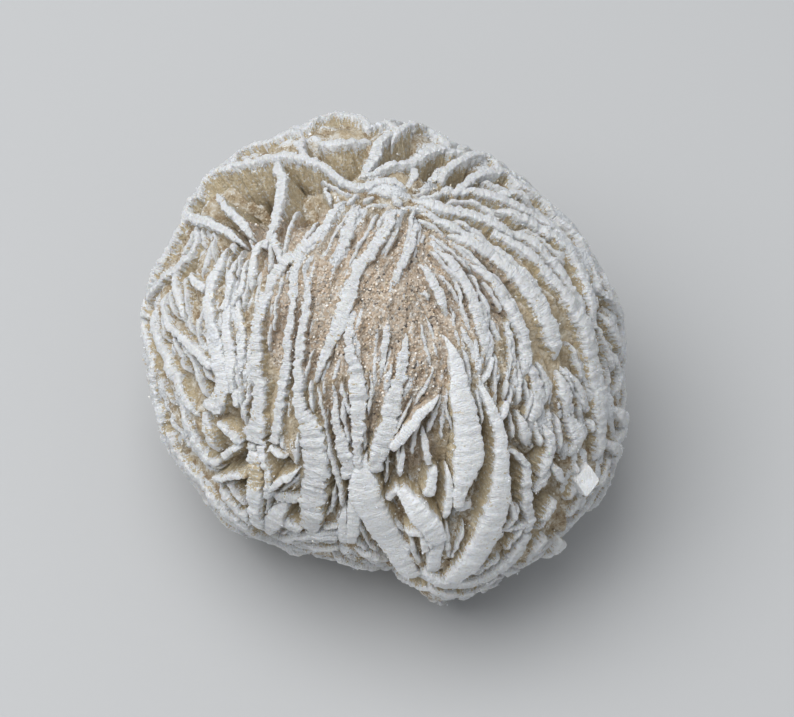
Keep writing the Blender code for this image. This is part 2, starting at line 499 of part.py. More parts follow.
part = bpy.data.collections.new('gypsum_sand_rose')
blades = bpy.data.collections.new('blades')
cutters = bpy.data.collections.new('cutters')
for collection in (part, blades, cutters):
    bpy.context.scene.collection.children.link(collection)

show_face_blades(blades)
back_blades(blades)
block_crystal(blades)
rose = core_body(part)
rose.data.materials.append(gypsum_material())
join = rose.modifiers.new('grown_together', 'BOOLEAN')
join.operation = 'UNION'
join.operand_type = 'COLLECTION'
join.collection = blades
join.solver = 'EXACT'
cut = rose.modifiers.new('rest_flat', 'BOOLEAN')
cut.operation = 'DIFFERENCE'
cut.object = rest_cutter(cutters)
cut.solver = 'EXACT'
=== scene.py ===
"""Looks of a gypsum sand rose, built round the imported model.

Crest routes are drawn in millimetres on a flat sheet laid square to the show face: x runs to the
right, y runs down the face. Points are made in face axes (right, up the face, out of the face),
in millimetres from the stone's middle, and then turned into the model's metres.
"""
from math import cos, pi, radians, sin

import bpy
import numpy as np
from mathutils import Euler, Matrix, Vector


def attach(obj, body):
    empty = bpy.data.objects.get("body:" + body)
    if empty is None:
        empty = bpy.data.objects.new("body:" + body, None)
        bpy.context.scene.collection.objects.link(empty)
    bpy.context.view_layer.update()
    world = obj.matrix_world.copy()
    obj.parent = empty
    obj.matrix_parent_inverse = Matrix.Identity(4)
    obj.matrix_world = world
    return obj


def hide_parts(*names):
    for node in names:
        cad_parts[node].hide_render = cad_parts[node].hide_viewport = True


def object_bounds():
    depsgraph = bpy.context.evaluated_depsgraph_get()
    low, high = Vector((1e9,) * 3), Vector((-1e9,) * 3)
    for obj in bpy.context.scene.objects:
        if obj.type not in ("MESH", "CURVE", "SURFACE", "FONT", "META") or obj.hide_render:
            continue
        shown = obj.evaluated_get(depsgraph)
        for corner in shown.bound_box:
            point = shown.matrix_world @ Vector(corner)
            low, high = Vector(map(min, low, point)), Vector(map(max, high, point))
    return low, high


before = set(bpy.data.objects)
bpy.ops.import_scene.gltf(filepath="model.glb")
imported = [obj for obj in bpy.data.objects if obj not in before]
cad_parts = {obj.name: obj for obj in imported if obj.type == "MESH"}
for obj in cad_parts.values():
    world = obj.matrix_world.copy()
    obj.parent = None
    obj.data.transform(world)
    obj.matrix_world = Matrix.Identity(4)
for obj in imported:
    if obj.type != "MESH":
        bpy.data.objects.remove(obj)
cad_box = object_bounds()


# --- Blades of the show face --------------------------------------------------------------------
# Each blade is one thin lens of gypsum on edge: honey and half clear inside, its edge coated with
# a chalky white rind that ends in a ragged comb. They swing from the top of the face to its foot
# and grow into each other wherever they meet.
MM = 0.001
STONE_MIDDLE = np.array([-0.19, 0.10, 18.2])
FACE_TILT = radians(60)
BOX_GAP = 0.01
SIGHT_DISTANCE = 450.0
SHEET_MIDDLE = (38.5, 36.0)
HALF_DEPTH = 20.0
# Reach of the crests in the plane of the face, at even turns from the right hand upwards
OUTLINE_RADII = np.array([
    24.1, 24.3, 23.8, 23.2, 23.2, 23.2, 24.4, 25.6, 25.4, 26.1, 24.9, 25.2,
    24.6, 24.0, 23.3, 23.5, 21.6, 21.1, 21.2, 25.8, 25.4, 25.4, 25.7, 24.8,
])
FOOT_OF_OUTLINE = 18
SEARCH_STEPS = 40
GROOVE_DEPTH = 3.0
# Where the grooves between the crystals are deeper or shallower: sheet x, y, radius, change
GROOVE_CHANGES = (
    (38, 29.5, 9, -2.5), (29.5, 27, 4, -0.6), (30.5, 33.5, 5, -0.7), (42, 38, 4, -0.6),
    (24.8, 18.2, 4, 3.2), (33, 14.6, 3.4, 2.6), (42.5, 15, 3.5, 1.2), (43, 50, 5.5, 1.2),
    (53.5, 48.5, 5, 1), (33.8, 49.5, 2.5, 1.2), (53.4, 33.8, 1.9, 0.6), (56.9, 33.6, 1.9, 0.6),
    (41.2, 14.6, 2.2, 1.6), (47, 17, 1.8, 1.6), (46.5, 21, 4.5, 0.2), (54, 20.5, 4.5, 0.3),
    (60.5, 30, 3, 0.4), (61, 32, 1.6, 1.3), (60.6, 27.2, 1.2, 0.9), (23.5, 46.2, 1.2, 1.2),
    (22.6, 49.6, 1.1, 1.2), (27.8, 46.9, 1.1, 1.2), (29.4, 51.6, 1.1, 1.2), (49, 43.5, 2.2, 1.2),
    (27.3, 38.5, 3, 0.9), (22.5, 46.5, 3.6, 0.9), (17.6, 25.4, 2.4, 1.6), (55, 50, 3, 0.9),
    (30.3, 20, 2.4, 1.6), (19, 37.8, 2.2, 0.9), (23.4, 42, 1.8, 0.9),
)
# Radius and change of depth where caked sand levels the underside
BASE_FILL = (10.0, -2.5)
# Where sand clings to the crystals: sheet x, y, radius, strength
SANDY_PLACES = (
    (38.5, 29.5, 8, 1), (31, 32.5, 5.5, 0.9), (28, 24, 4.5, 0.5), (47, 28, 6.5, 0.55),
    (41.5, 38, 5, 0.6), (41.5, 45.5, 3, 0.4), (35, 42, 4.5, 0.5), (24.8, 22.2, 2.6, 0.6),
    (27.2, 24.2, 2.4, 0.6), (31.6, 21.6, 2.2, 0.5),
)
# Crests whose honey face shows through the white: sheet x, y, radius, strength
BARE_CRESTS = (
    (25.3, 47.6, 1.7, 0.85),
    (20.7, 43.6, 1.3, 0.7),
)
LATTICE_SIDE = 64
SEED_SHIFT = 13.7
LATTICE = np.random.default_rng(1).uniform(-1, 1, (LATTICE_SIDE, LATTICE_SIDE, LATTICE_SIDE))


def noise(points, size, seed):
    """Smooth random values from -1 to 1 at points, in blobs of about the size."""
    place = points / size + SEED_SHIFT * seed
    low = np.floor(place).astype(int)
    part = place - low
    last = LATTICE_SIDE - 1
    u, v, w = (part * part * (3 - 2 * part)).T
    (x, y, z), (x1, y1, z1) = (low & last).T, ((low + 1) & last).T

    def along_x(y, z):
        return LATTICE[x, y, z] * (1 - u) + LATTICE[x1, y, z] * u

    near = along_x(y, z) * (1 - v) + along_x(y1, z) * v
    return near * (1 - w) + (along_x(y, z1) * (1 - v) + along_x(y1, z1) * v) * w


def waves(points, kinds, shift=0):
    """Sum of noises, each kind given as (height, size, seed)."""
    return sum(height * noise(points, size, seed + shift) for height, size, seed in kinds)


def ring_value(values, angle):
    """Value at an angle, out of values at even turns round a ring, eased between them."""
    turn = (angle / (2 * pi)) % 1.0 * len(values)
    low = np.floor(turn).astype(int) % len(values)
    ease = (1 - np.cos((turn - np.floor(turn)) * pi)) / 2
    return values[low] * (1 - ease) + values[(low + 1) % len(values)] * ease


def skin_radius(direction):
    """Reach of the crests along unit directions."""
    across, up, out = direction[..., 0], direction[..., 1], direction[..., 2]
    outline = ring_value(OUTLINE_RADII, np.arctan2(up, across))
    return 1 / np.sqrt((across**2 + up**2) / outline**2 + out**2 / HALF_DEPTH**2)


def skin_normal(points):
    radius = ring_value(OUTLINE_RADII, np.arctan2(points[:, 1], points[:, 0]))
    normal = points / np.stack([radius**2, radius**2, 0 * radius + HALF_DEPTH**2], 1)
    return normal / np.linalg.norm(normal, axis=1, keepdims=True)


def cast(start, rays, outer, inner):
    """Points where rays cross the skin, between a reach outside it and one inside it."""
    for _ in range(SEARCH_STEPS):
        middle = (outer + inner) / 2
        point = start + middle[:, None] * rays
        length = np.linalg.norm(point, axis=1)
        outside = length > skin_radius(point / length[:, None])
        outer = np.where(outside, middle, outer)
        inner = np.where(outside, inner, middle)
    return start + inner[:, None] * rays


def on_skin(route):
    """Sheet positions cast from the viewpoint on the skin, or beside it at the outline."""
    flat = np.asarray(route, float)
    sight = np.array([0.0, 0.0, SIGHT_DISTANCE])
    target = np.stack([flat[:, 0] - SHEET_MIDDLE[0], SHEET_MIDDLE[1] - flat[:, 1], 0 * flat[:, 0]], 1)
    rays = target - sight
    rays /= np.linalg.norm(rays, axis=1, keepdims=True)
    closest = -(sight @ rays.T)
    point = cast(sight, rays, closest - 2 * HALF_DEPTH, closest)
    direction = point / np.linalg.norm(point, axis=1, keepdims=True)
    return direction * skin_radius(direction)[:, None]


def spots(table):
    return [(on_skin([(x, y)])[0], reach, change) for x, y, reach, change in table]


GROOVE_SPOTS = spots(GROOVE_CHANGES)
SANDY_SPOTS = spots(SANDY_PLACES)
BARE_SPOTS = spots(BARE_CRESTS)
# direction of the stone's lowest point as it lies
lowest = np.array([
    0, -cos(FACE_TILT) * OUTLINE_RADII[FOOT_OF_OUTLINE] ** 2, -sin(FACE_TILT) * HALF_DEPTH**2,
])
lowest /= np.linalg.norm(lowest)
GROOVE_SPOTS.append((lowest * skin_radius(lowest), *BASE_FILL))


def changed(points, value, places):
    """The value at points, raised or lowered round each spot."""
    total = np.full(len(points), float(value))
    for spot, reach, change in places:
        total += change * np.exp(-((np.linalg.norm(points - spot, axis=1) / reach) ** 2))
    return total


def groove_depth(points):
    """Depth of the sand under the crests, at points on the skin."""
    return changed(points, GROOVE_DEPTH, GROOVE_SPOTS)


def sandiness(points):
    """How much sand clings at points, from 0 to 1."""
    amount = np.zeros(len(points))
    for spot, reach, strength in SANDY_SPOTS:
        distance = np.linalg.norm(points - spot, axis=1)
        amount = np.maximum(amount, strength * np.exp(-((distance / reach) ** 4)))
    return amount


def to_model(points):
    """Face axes in millimetres to the model's metres, kept on the rest flat and inside its box."""
    up, out = cos(FACE_TILT), sin(FACE_TILT)
    turn = np.array([[1, 0, 0], [0, out, -up], [0, up, out]])
    placed = MM * (points @ turn.T + STONE_MIDDLE)
    inside = BOX_GAP * MM
    low = np.array(cad_box[0]) + inside * np.array([1, 1, 0])
    return np.clip(placed, low, np.array(cad_box[1]) - inside)


def make_piece(name, points, faces, values, material, smooth=True):
    """Mesh piece from points in face axes, rows of corner numbers, and named values per point."""
    mesh = bpy.data.meshes.new(name)
    faces = np.asarray(faces)
    count, sides = faces.shape
    mesh.vertices.add(len(points))
    mesh.vertices.foreach_set("co", to_model(points).ravel())
    mesh.loops.add(count * sides)
    mesh.loops.foreach_set("vertex_index", faces.ravel())
    mesh.polygons.add(count)
    mesh.polygons.foreach_set("loop_start", np.arange(count) * sides)
    mesh.polygons.foreach_set("loop_total", np.full(count, sides))
    mesh.polygons.foreach_set("use_smooth", np.full(count, smooth))
    mesh.update(calc_edges=True)
    mesh.validate()
    for key, numbers in values.items():
        mesh.attributes.new(key, "FLOAT", "POINT").data.foreach_set("value", numbers.astype(np.float32))
    piece = bpy.data.objects.new(name, mesh)
    bpy.context.scene.collection.objects.link(piece)
    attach(piece, "root")
    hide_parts("gypsum_sand_rose")
    mesh.materials.append(material)


class Value:
    """Output of a shader node. Sums, products and powers of values become Math nodes."""

    def __init__(self, socket):
        self.socket = socket
        self.tree = socket.id_data

    def __add__(self, other):
        return math_node("ADD", self, other)

    def __sub__(self, other):
        return math_node("SUBTRACT", self, other)

    def __rsub__(self, number):
        return math_node("SUBTRACT", number, self)

    def __mul__(self, other):
        return math_node("MULTIPLY", self, other)

    def __pow__(self, number):
        return math_node("POWER", self, number)

    def __abs__(self):
        return math_node("ABSOLUTE", self)


def feed(socket, source):
    """Socket linked from a value, or set to a number or a colour."""
    if isinstance(source, Value):
        source.tree.links.new(source.socket, socket)
    else:
        socket.default_value = (*source, 1) if isinstance(source, tuple) else source


def math_node(operation, *terms):
    tree = next(term.tree for term in terms if isinstance(term, Value))
    made = tree.nodes.new("ShaderNodeMath")
    made.operation = operation
    for socket, term in zip(made.inputs, terms):
        feed(socket, term)
    return Value(made.outputs[0])


def node(tree, kind, links=(), **settings):
    """New node with settings on it or on its sockets, and sockets fed from values."""
    made = tree.nodes.new(kind)
    for key, value in settings.items():
        if hasattr(made, key):
            setattr(made, key, value)
        else:
            made.inputs[key.replace("_", " ")].default_value = value
    for socket, source in dict(links).items():
        feed(made.inputs[socket], source)
    return made


def value_of(tree, name):
    return Value(node(tree, "ShaderNodeAttribute", attribute_name=name).outputs["Fac"])


def fade(value, low, high):
    """0 under low, 1 over high, smooth between."""
    limits = {"From_Min": low, "From_Max": high, "interpolation_type": "SMOOTHSTEP"}
    return Value(node(value.tree, "ShaderNodeMapRange", {"Value": value}, **limits).outputs["Result"])


def mix_colors(share, a, b):
    made = node(share.tree, "ShaderNodeMix", data_type="RGBA")
    for place, source in ((0, share), (6, a), (7, b)):
        feed(made.inputs[place], source)
    return Value(made.outputs[2])


def ramp(value, stops):
    made = node(value.tree, "ShaderNodeValToRGB", {"Fac": value})
    band = made.color_ramp.elements
    while len(band) < len(stops):
        band.new(0.5)
    for element, (place, color) in zip(band, stops):
        element.position = place
        element.color = (*color, 1)
    return Value(made.outputs["Color"])


def mottle(place, scale, detail, **settings):
    settings.update(Scale=scale, Detail=detail)
    return Value(node(place.tree, "ShaderNodeTexNoise", {"Vector": place}, **settings).outputs["Fac"])


def cells(place, scale):
    """Three random values for each of many small cells, and the distance to a cell's middle."""
    made = node(place.tree, "ShaderNodeTexVoronoi", {"Vector": place}, Scale=scale)
    split = node(place.tree, "ShaderNodeSeparateColor", {"Color": Value(made.outputs["Color"])})
    return [Value(socket) for socket in split.outputs], Value(made.outputs["Distance"])


def millimetres(tree):
    """Place on the stone in millimetres."""
    metres = Value(node(tree, "ShaderNodeNewGeometry").outputs["Position"])
    made = node(tree, "ShaderNodeVectorMath", {0: metres}, operation="SCALE", Scale=1 / MM)
    return Value(made.outputs[0])


def new_material(name):
    material = bpy.data.materials.new(name)
    material.use_nodes = True
    tree = material.node_tree
    return material, tree, tree.nodes["Principled BSDF"]


def surface_of(shader, color, roughness, height=None, depth=0.0):
    """Colour and roughness of a shader, and a bump of the given depth in millimetres."""
    feed(shader.inputs["Base Color"], color)
    feed(shader.inputs["Roughness"], roughness)
    if height:
        bump = node(height.tree, "ShaderNodeBump", {"Height": height}, Distance=depth * MM)
        feed(shader.inputs["Normal"], Value(bump.outputs[0]))


SAND_GRAIN = 0.24
SAND_COLORS = (
    (0.00, (0.15, 0.13, 0.115)),
    (0.03, (0.26, 0.21, 0.165)),
    (0.06, (0.48, 0.37, 0.26)),
    (0.40, (0.61, 0.49, 0.38)),
    (0.65, (0.68, 0.57, 0.455)),
    (0.84, (0.75, 0.67, 0.57)),
    (1.00, (0.84, 0.81, 0.77)),
)
RUSTY_GRAIN = (0.60, 0.42, 0.26)
SMOKY_GRAIN = (0.50, 0.47, 0.42)


def sand_color(place):
    """Colour of caked sand, and the distance to the middle of each grain."""
    (tone, rust, smoke), mound = cells(place, 1 / SAND_GRAIN)
    patch = mottle(place, 0.45, 3.0)
    color = ramp(tone + (patch - 0.5) * 0.5, SAND_COLORS)
    color = mix_colors(fade(rust, 0.86, 0.92) * 0.55, color, RUSTY_GRAIN)
    color = mix_colors(fade(smoke, 0.80, 0.9) * 0.7, color, SMOKY_GRAIN)
    return color, mound


WHITE = (0.83, 0.845, 0.865)
WHITE_SHADE = (0.79, 0.79, 0.785)
# painted shade for the thin creases of the chalky rind
CREASE_SHADE_COLOR = (0.62, 0.58, 0.50)
DUST_SPECK = (0.55, 0.49, 0.38)
HONEY_STOPS = (
    (0.28, (0.46, 0.36, 0.21)),
    (0.50, (0.62, 0.515, 0.345)),
    (0.68, (0.77, 0.70, 0.54)),
)
# painted shade of small pits in the honey
PIT_SHADE_COLOR = (0.18, 0.12, 0.06)
GYPSUM_BUMP = 0.18
GLOW_RADIUS = (1.0, 0.8, 0.55)
GLOW_DEPTH = 0.3

gypsum, tree, shader = new_material("gypsum_blade")
place = millimetres(tree)
along, across, below = (value_of(tree, key) for key in ("along", "across", "below"))
fibres = node(tree, "ShaderNodeCombineXYZ", {0: along * 4.2, 1: across * 0.8, 2: below * 0.9})
comb = mottle(Value(fibres.outputs[0]), 1.0, 3.0)
crumbs = mottle(place, 3.2, 4.0)
(speck, shaded_pit, _), _ = cells(place, 5.5)
(powder, _, _), _ = cells(place, 7.0)
# the rind covers the face down to a ragged edge, and powder speckles the honey under it
edge = value_of(tree, "white") + (comb - 0.5) * 2.0 + (crumbs - 0.5) * 1.3
dusted = fade(fade(edge, -0.9, 0.4) ** 2.2 - powder, -0.04, 0.04)
coated = math_node("MAXIMUM", fade(edge, -0.05, 0.25), dusted)
# thin creases along the comb, which are also dented into the bump
crease_line = (1.0 - abs(comb * 2.0 - 1.0)) ** 7.0
chalk = mix_colors(fade(crumbs, 0.34, 0.58), WHITE_SHADE, WHITE)
# painted shade darkens the chalk along the comb's creases
chalk = mix_colors(crease_line * 0.25, chalk, CREASE_SHADE_COLOR)
chalk = mix_colors(fade(speck, 0.985, 0.99) * 0.3, chalk, DUST_SPECK)
honey = ramp(comb * 0.5 + crumbs * 0.5, HONEY_STOPS)
low_down = fade(below, 0.6, 2.6)
honey = mix_colors(fade(speck, 0.84, 0.88) * (low_down * 0.5 + 0.1), honey, WHITE)
# dark specks of painted shade stand in for small pits in the honey, stronger deeper down the sides
honey = mix_colors(fade(shaded_pit, 0.90, 0.93) * (low_down * 0.25 + 0.05), honey, PIT_SHADE_COLOR)
# sand clings to the sides near the heart
cling = value_of(tree, "sandy") * (fade(below, 0.0, 0.7) * 0.9 + 0.12) + (crumbs - 0.5)
color = mix_colors(fade(cling, 0.30, 0.42), mix_colors(coated, honey, chalk), sand_color(place)[0])
rough = mottle(place, 5.0, 5.0, Roughness=0.65)
height = (rough * 1.7 + comb * 0.9 - crease_line * 0.5) * value_of(tree, "sugar")
surface_of(shader, color, coated * 0.4 + 0.45, height, GYPSUM_BUMP)
shader.inputs["Subsurface Weight"].default_value = 0.2
shader.inputs["Subsurface Radius"].default_value = GLOW_RADIUS
shader.inputs["Subsurface Scale"].default_value = GLOW_DEPTH * MM

# Each blade: level of its crest over the skin, then its route as (x, y, crest width)
CROWN = (
    (0.3, (19.6, 19.6, 0.7), (21.5, 17.2, 0.9), (26, 15.9, 0.9), (29.8, 15.6, 0.9), (34.5, 18, 0.7)),
    (0, (19.8, 19, 0.7), (18.6, 20.3, 0.8), (18.2, 21.8, 0.8), (16.9, 24.2, 0.9), (15.6, 26.4, 0.9),
     (14.2, 29.6, 0.8)),
    (0, (22.6, 16.2, 0.8), (24.5, 14.5, 1), (27, 13.8, 1), (30.3, 12.5, 0.9)),
    (0, (27.6, 15.9, 0.8), (28, 18, 1.2), (28, 19.8, 1.1), (27.3, 22.4, 0.8), (26.2, 24.6, 0.6)),
    (-0.2, (21.2, 18.8, 0.6), (22.7, 20.9, 0.8), (24, 22.2, 0.9), (25, 23.6, 0.7)),
    (0, (18.3, 21.5, 0.8), (20.5, 22.2, 1), (22.5, 23, 0.9), (24.2, 24.3, 0.6)),
    (-0.1, (19.2, 22.5, 0.5), (19.3, 24.2, 0.6), (18.4, 25.7, 0.8), (16.8, 27, 0.9), (15.2, 28.4, 0.8),
     (14.2, 29.9, 0.7)),
    (0.1, (30, 12.7, 0.7), (32, 11.6, 0.9), (33.9, 11.2, 1), (35.7, 11.6, 0.9), (37, 12.5, 0.8)),
    (-0.6, (31.4, 13.2, 0.8), (33.2, 13.5, 1.5), (35.2, 13.3, 1.3), (36.8, 12.9, 0.8)),
    (0, (36.7, 12.4, 0.7), (38.7, 12.1, 0.9), (40.3, 12.8, 0.8)),
    (0, (39.2, 12.9, 0.7), (38, 14, 1.1), (37.3, 15.7, 1.1), (36.3, 17.4, 0.7)),
    (0.2, (39.3, 13.8, 0.6), (40.4, 12.7, 0.9), (42, 12.5, 1), (43.4, 12.9, 1.2), (44.9, 14.5, 1.2)),
    (0.1, (36.8, 17.4, 0.6), (38.7, 16.5, 0.7), (40.3, 16.1, 0.8), (41.8, 15.6, 1), (43.2, 14.8, 1.4),
     (45.4, 14.6, 0.9)),
    (-0.4, (41.7, 16.2, 0.6), (41.5, 17.3, 0.7), (41, 18.3, 0.5)),
    (0, (44.6, 14.8, 0.8), (46.4, 15, 0.9), (47.6, 15.7, 0.6)),
    (-0.3, (44.5, 16.2, 0.6), (43.7, 17.3, 0.9), (42.6, 18.3, 0.6)),
    (0.1, (44, 17.8, 0.7), (44.9, 16.5, 0.9), (46.4, 15.7, 0.9), (48.1, 15.3, 1.1), (49.3, 15.7, 1),
     (50.4, 16.9, 0.8)),
    (0.1, (45.6, 19.1, 0.7), (47.3, 17.8, 0.9), (49.2, 17, 1), (51.5, 17.4, 0.9), (53.2, 18.6, 0.7)),
    (0, (50.2, 19, 0.8), (52.2, 19.2, 0.9), (53.8, 20.4, 0.8)),
    (0, (50, 16.5, 0.8), (52, 18, 1), (54.5, 19.8, 1), (56, 21.2, 0.9)),
    (0, (56, 21.3, 0.8), (58.5, 24, 1.1), (59.8, 26.5, 1.2), (60.3, 29, 1)),
    (0.2, (33.8, 18, 0.7), (36, 18.7, 0.9), (38.5, 18, 0.9), (41, 18.8, 0.7)),
    (-0.4, (30.1, 12.9, 0.5), (29.9, 14.3, 0.6), (30.6, 15.8, 0.5)),
    (0, (36.4, 18.7, 0.5), (38.4, 19.1, 0.7), (40.2, 20.1, 0.6)),
)
RIGHT_FAN = (
    (0.1, (41.5, 19.6, 0.9), (45, 20.8, 1.1), (49, 22, 1), (51.5, 23.4, 0.7)),
    (0, (45.5, 18.8, 0.7), (49.5, 19.4, 0.9), (53, 20.9, 0.9), (56.5, 23.4, 0.9), (58.8, 26.8, 0.7)),
    (0, (49.9, 20.5, 0.8), (54, 22.4, 1.2), (57.5, 25.2, 1.3), (59.2, 29.2, 1.2), (59.9, 32.8, 0.8)),
    (-0.2, (50.7, 22.4, 0.7), (54.6, 24.8, 1), (57.2, 28, 1), (59.2, 31.2, 0.8)),
    (0.1, (49.5, 23, 0.8), (53.4, 25.6, 1), (57, 29.6, 1.4), (59.2, 33.5, 1.9), (60, 38, 2.2),
     (60.4, 42.5, 1.6), (60.1, 46.5, 1)),
    (0.1, (45, 23, 0.8), (49.5, 25.5, 1.1), (53, 28.6, 1.6), (55, 32, 1.9), (56.2, 36, 1.3)),
    (-0.2, (43.5, 21.6, 0.6), (47.5, 23.4, 0.7), (51, 25.6, 0.7), (54.5, 29, 0.6)),
    (0, (47.5, 26.1, 0.7), (50, 28.8, 0.9), (52.2, 32.4, 1), (52.9, 35.6, 1), (52.6, 38, 0.7)),
    (-0.1, (53.1, 35.7, 0.6), (54.1, 38.6, 1.1), (54.1, 40.8, 1.1), (53.4, 42.3, 0.6)),
    (-0.5, (51.2, 32, 0.4), (51.6, 35.5, 0.6), (51.7, 39.5, 0.5)),
    (0, (56.4, 37, 0.8), (56.7, 39.2, 1.1), (57.4, 41.5, 1)),
    (-0.2, (57, 36.8, 0.4), (58.2, 38.6, 0.6), (59.3, 41.2, 0.6)),
    (0, (44.1, 24.7, 0.7), (46.3, 27.4, 0.9), (47.6, 30.2, 1.1), (48.6, 33.5, 1), (48.6, 36.6, 0.6)),
    (-0.2, (46.3, 32.2, 0.4), (47.2, 34.6, 0.6), (48.2, 37, 0.5)),
    (0, (42, 26, 0.6), (43.8, 28.6, 0.9), (45, 31.6, 0.7)),
    (-0.3, (48.2, 30, 0.6), (49.2, 33.6, 0.7), (49, 36.6, 0.5)),
    (-0.3, (54, 35.8, 0.3), (55, 38.6, 0.5), (54.6, 41.4, 0.4)),
)
HEART = (
    (0.1, (34.7, 19.5, 0.7), (31.8, 23.4, 1), (28, 26.4, 1.1), (26.4, 30, 1), (25.6, 34.5, 1.2),
     (25.6, 39, 1.2), (25.7, 41.4, 1.6), (25.6, 42.6, 2.1), (25.4, 44.4, 2.6)),
    (0, (31.6, 23.8, 0.6), (29.6, 26.2, 0.9), (29, 31.5, 0.6), (28.5, 36.4, 0.8), (28, 40, 0.9),
     (27.6, 42.6, 1), (27, 44.4, 1.3)),
    (0.1, (31.1, 26, 0.6), (30.7, 30, 0.8), (29.9, 34.5, 0.8), (29.8, 38.5, 0.9), (30, 40.8, 1.2),
     (31, 43.2, 2.5), (31.5, 46, 2.8), (31.2, 49.5, 2.6), (31, 52.4, 2.3), (30.9, 53.4, 1.9)),
    (0, (36, 20, 0.7), (34.9, 22.8, 1), (34.1, 25.7, 0.9)),
    (0.2, (39.7, 20.5, 0.8), (38, 23.8, 1.2), (35.6, 27.4, 1.3), (34.4, 31, 1.7), (32.6, 35, 1.1),
     (31.4, 38.3, 0.5)),
    (0.1, (35.2, 31, 0.9), (34.9, 34, 0.9), (35.7, 37.6, 1.6), (35.9, 41.4, 1.6), (35.6, 44.6, 0.9),
     (36.2, 47.6, 0.8)),
    (-0.3, (40.2, 21.9, 0.4), (38.5, 25.4, 0.5)),
    (0, (41.9, 21.7, 0.6), (40.9, 25.2, 0.8), (39, 28.7, 0.7)),
    (-0.1, (38.7, 31.8, 0.6), (38.6, 34.6, 0.7), (38, 38, 0.5)),
    (0.1, (40.7, 33.2, 0.7), (40.3, 36.6, 1.1), (39.4, 40.2, 1.6), (38.5, 43.8, 1.9), (37.3, 47.4, 1.1)),
    (-0.1, (33.5, 39.5, 0.6), (33.6, 42.6, 0.8), (34.4, 45.6, 1.5), (35.1, 48.2, 1.7)),
    (-0.3, (42.5, 28.9, 0.3), (43.1, 29.7, 0.3)),
    (-0.2, (27, 23, 0.8), (27.8, 26, 0.6)),
    (-0.3, (32.4, 18.4, 0.5), (33, 20, 0.4)),
)
LENSES = (
    (0.1, (36.7, 45.8, 1), (36.2, 47.3, 2.3), (36.4, 49.4, 3.2), (36.9, 51, 3.1), (38.4, 53.2, 2.8),
     (39.8, 55.4, 2.6), (41.4, 58, 1.8)),
    (-0.2, (35.5, 50, 1.2), (35.2, 53, 1.2), (35, 54.8, 0.9)),
    (-0.4, (34.4, 51.2, 0.5), (34.2, 53.5, 0.9), (34.4, 55.2, 1)),
    (0.7, (44, 39.5, 0.4), (41.9, 41.7, 0.9), (39.2, 44.9, 0.8)),
    (0.4, (44.6, 33.5, 0.5), (45.6, 36.2, 1.2), (46.2, 39.4, 2.1), (46.7, 42.6, 2.6), (46.9, 45.8, 3),
     (46.3, 48.6, 1.5), (45.9, 50.8, 0.9)),
    (0.2, (48.3, 38.4, 0.5), (49.8, 42, 1), (50.4, 46, 1.4), (49.9, 50.6, 2.4), (48.3, 54.8, 2.7),
     (45.4, 58.5, 2)),
    (0, (40.2, 49.3, 0.9), (41.8, 51.4, 2), (43.3, 53.2, 2.1), (44.2, 54.6, 1.4)),
    (-0.4, (43.7, 47, 0.6), (43.3, 48.6, 0.9), (42.7, 50, 1.1)),
    (-0.6, (40.6, 44.8, 0.4), (40.3, 46.6, 0.5), (40.1, 48.4, 0.4)),
    (-0.5, (42.5, 42.8, 0.4), (42.8, 44.8, 0.6), (43.2, 46.8, 0.5)),
    (-0.3, (44.9, 46.8, 0.4), (45.2, 49.4, 0.6), (44.7, 52.6, 0.7)),
    (-0.5, (39.9, 49.2, 0.4), (38.8, 50.6, 0.6)),
    (-0.6, (44, 54.4, 1.2), (43.8, 56.4, 1.4), (43.3, 58.2, 1.1)),
    (-0.9, (45.8, 51.4, 0.9), (47.6, 50.8, 0.8)),
    (-0.3, (40.6, 53.6, 0.4), (42.5, 53.6, 0.6)),
    (-0.4, (42.4, 54.2, 0.6), (42.6, 55.8, 0.7)),
    (0, (50.9, 40.2, 0.3), (50.4, 41.4, 0.5), (50.2, 42.2, 0.3)),
    (-0.1, (49.6, 35.7, 0.3), (49, 37.2, 0.5), (48.4, 38.4, 0.4)),
    (-0.3, (51.4, 50.5, 0.3), (51.7, 52.3, 0.4)),
)
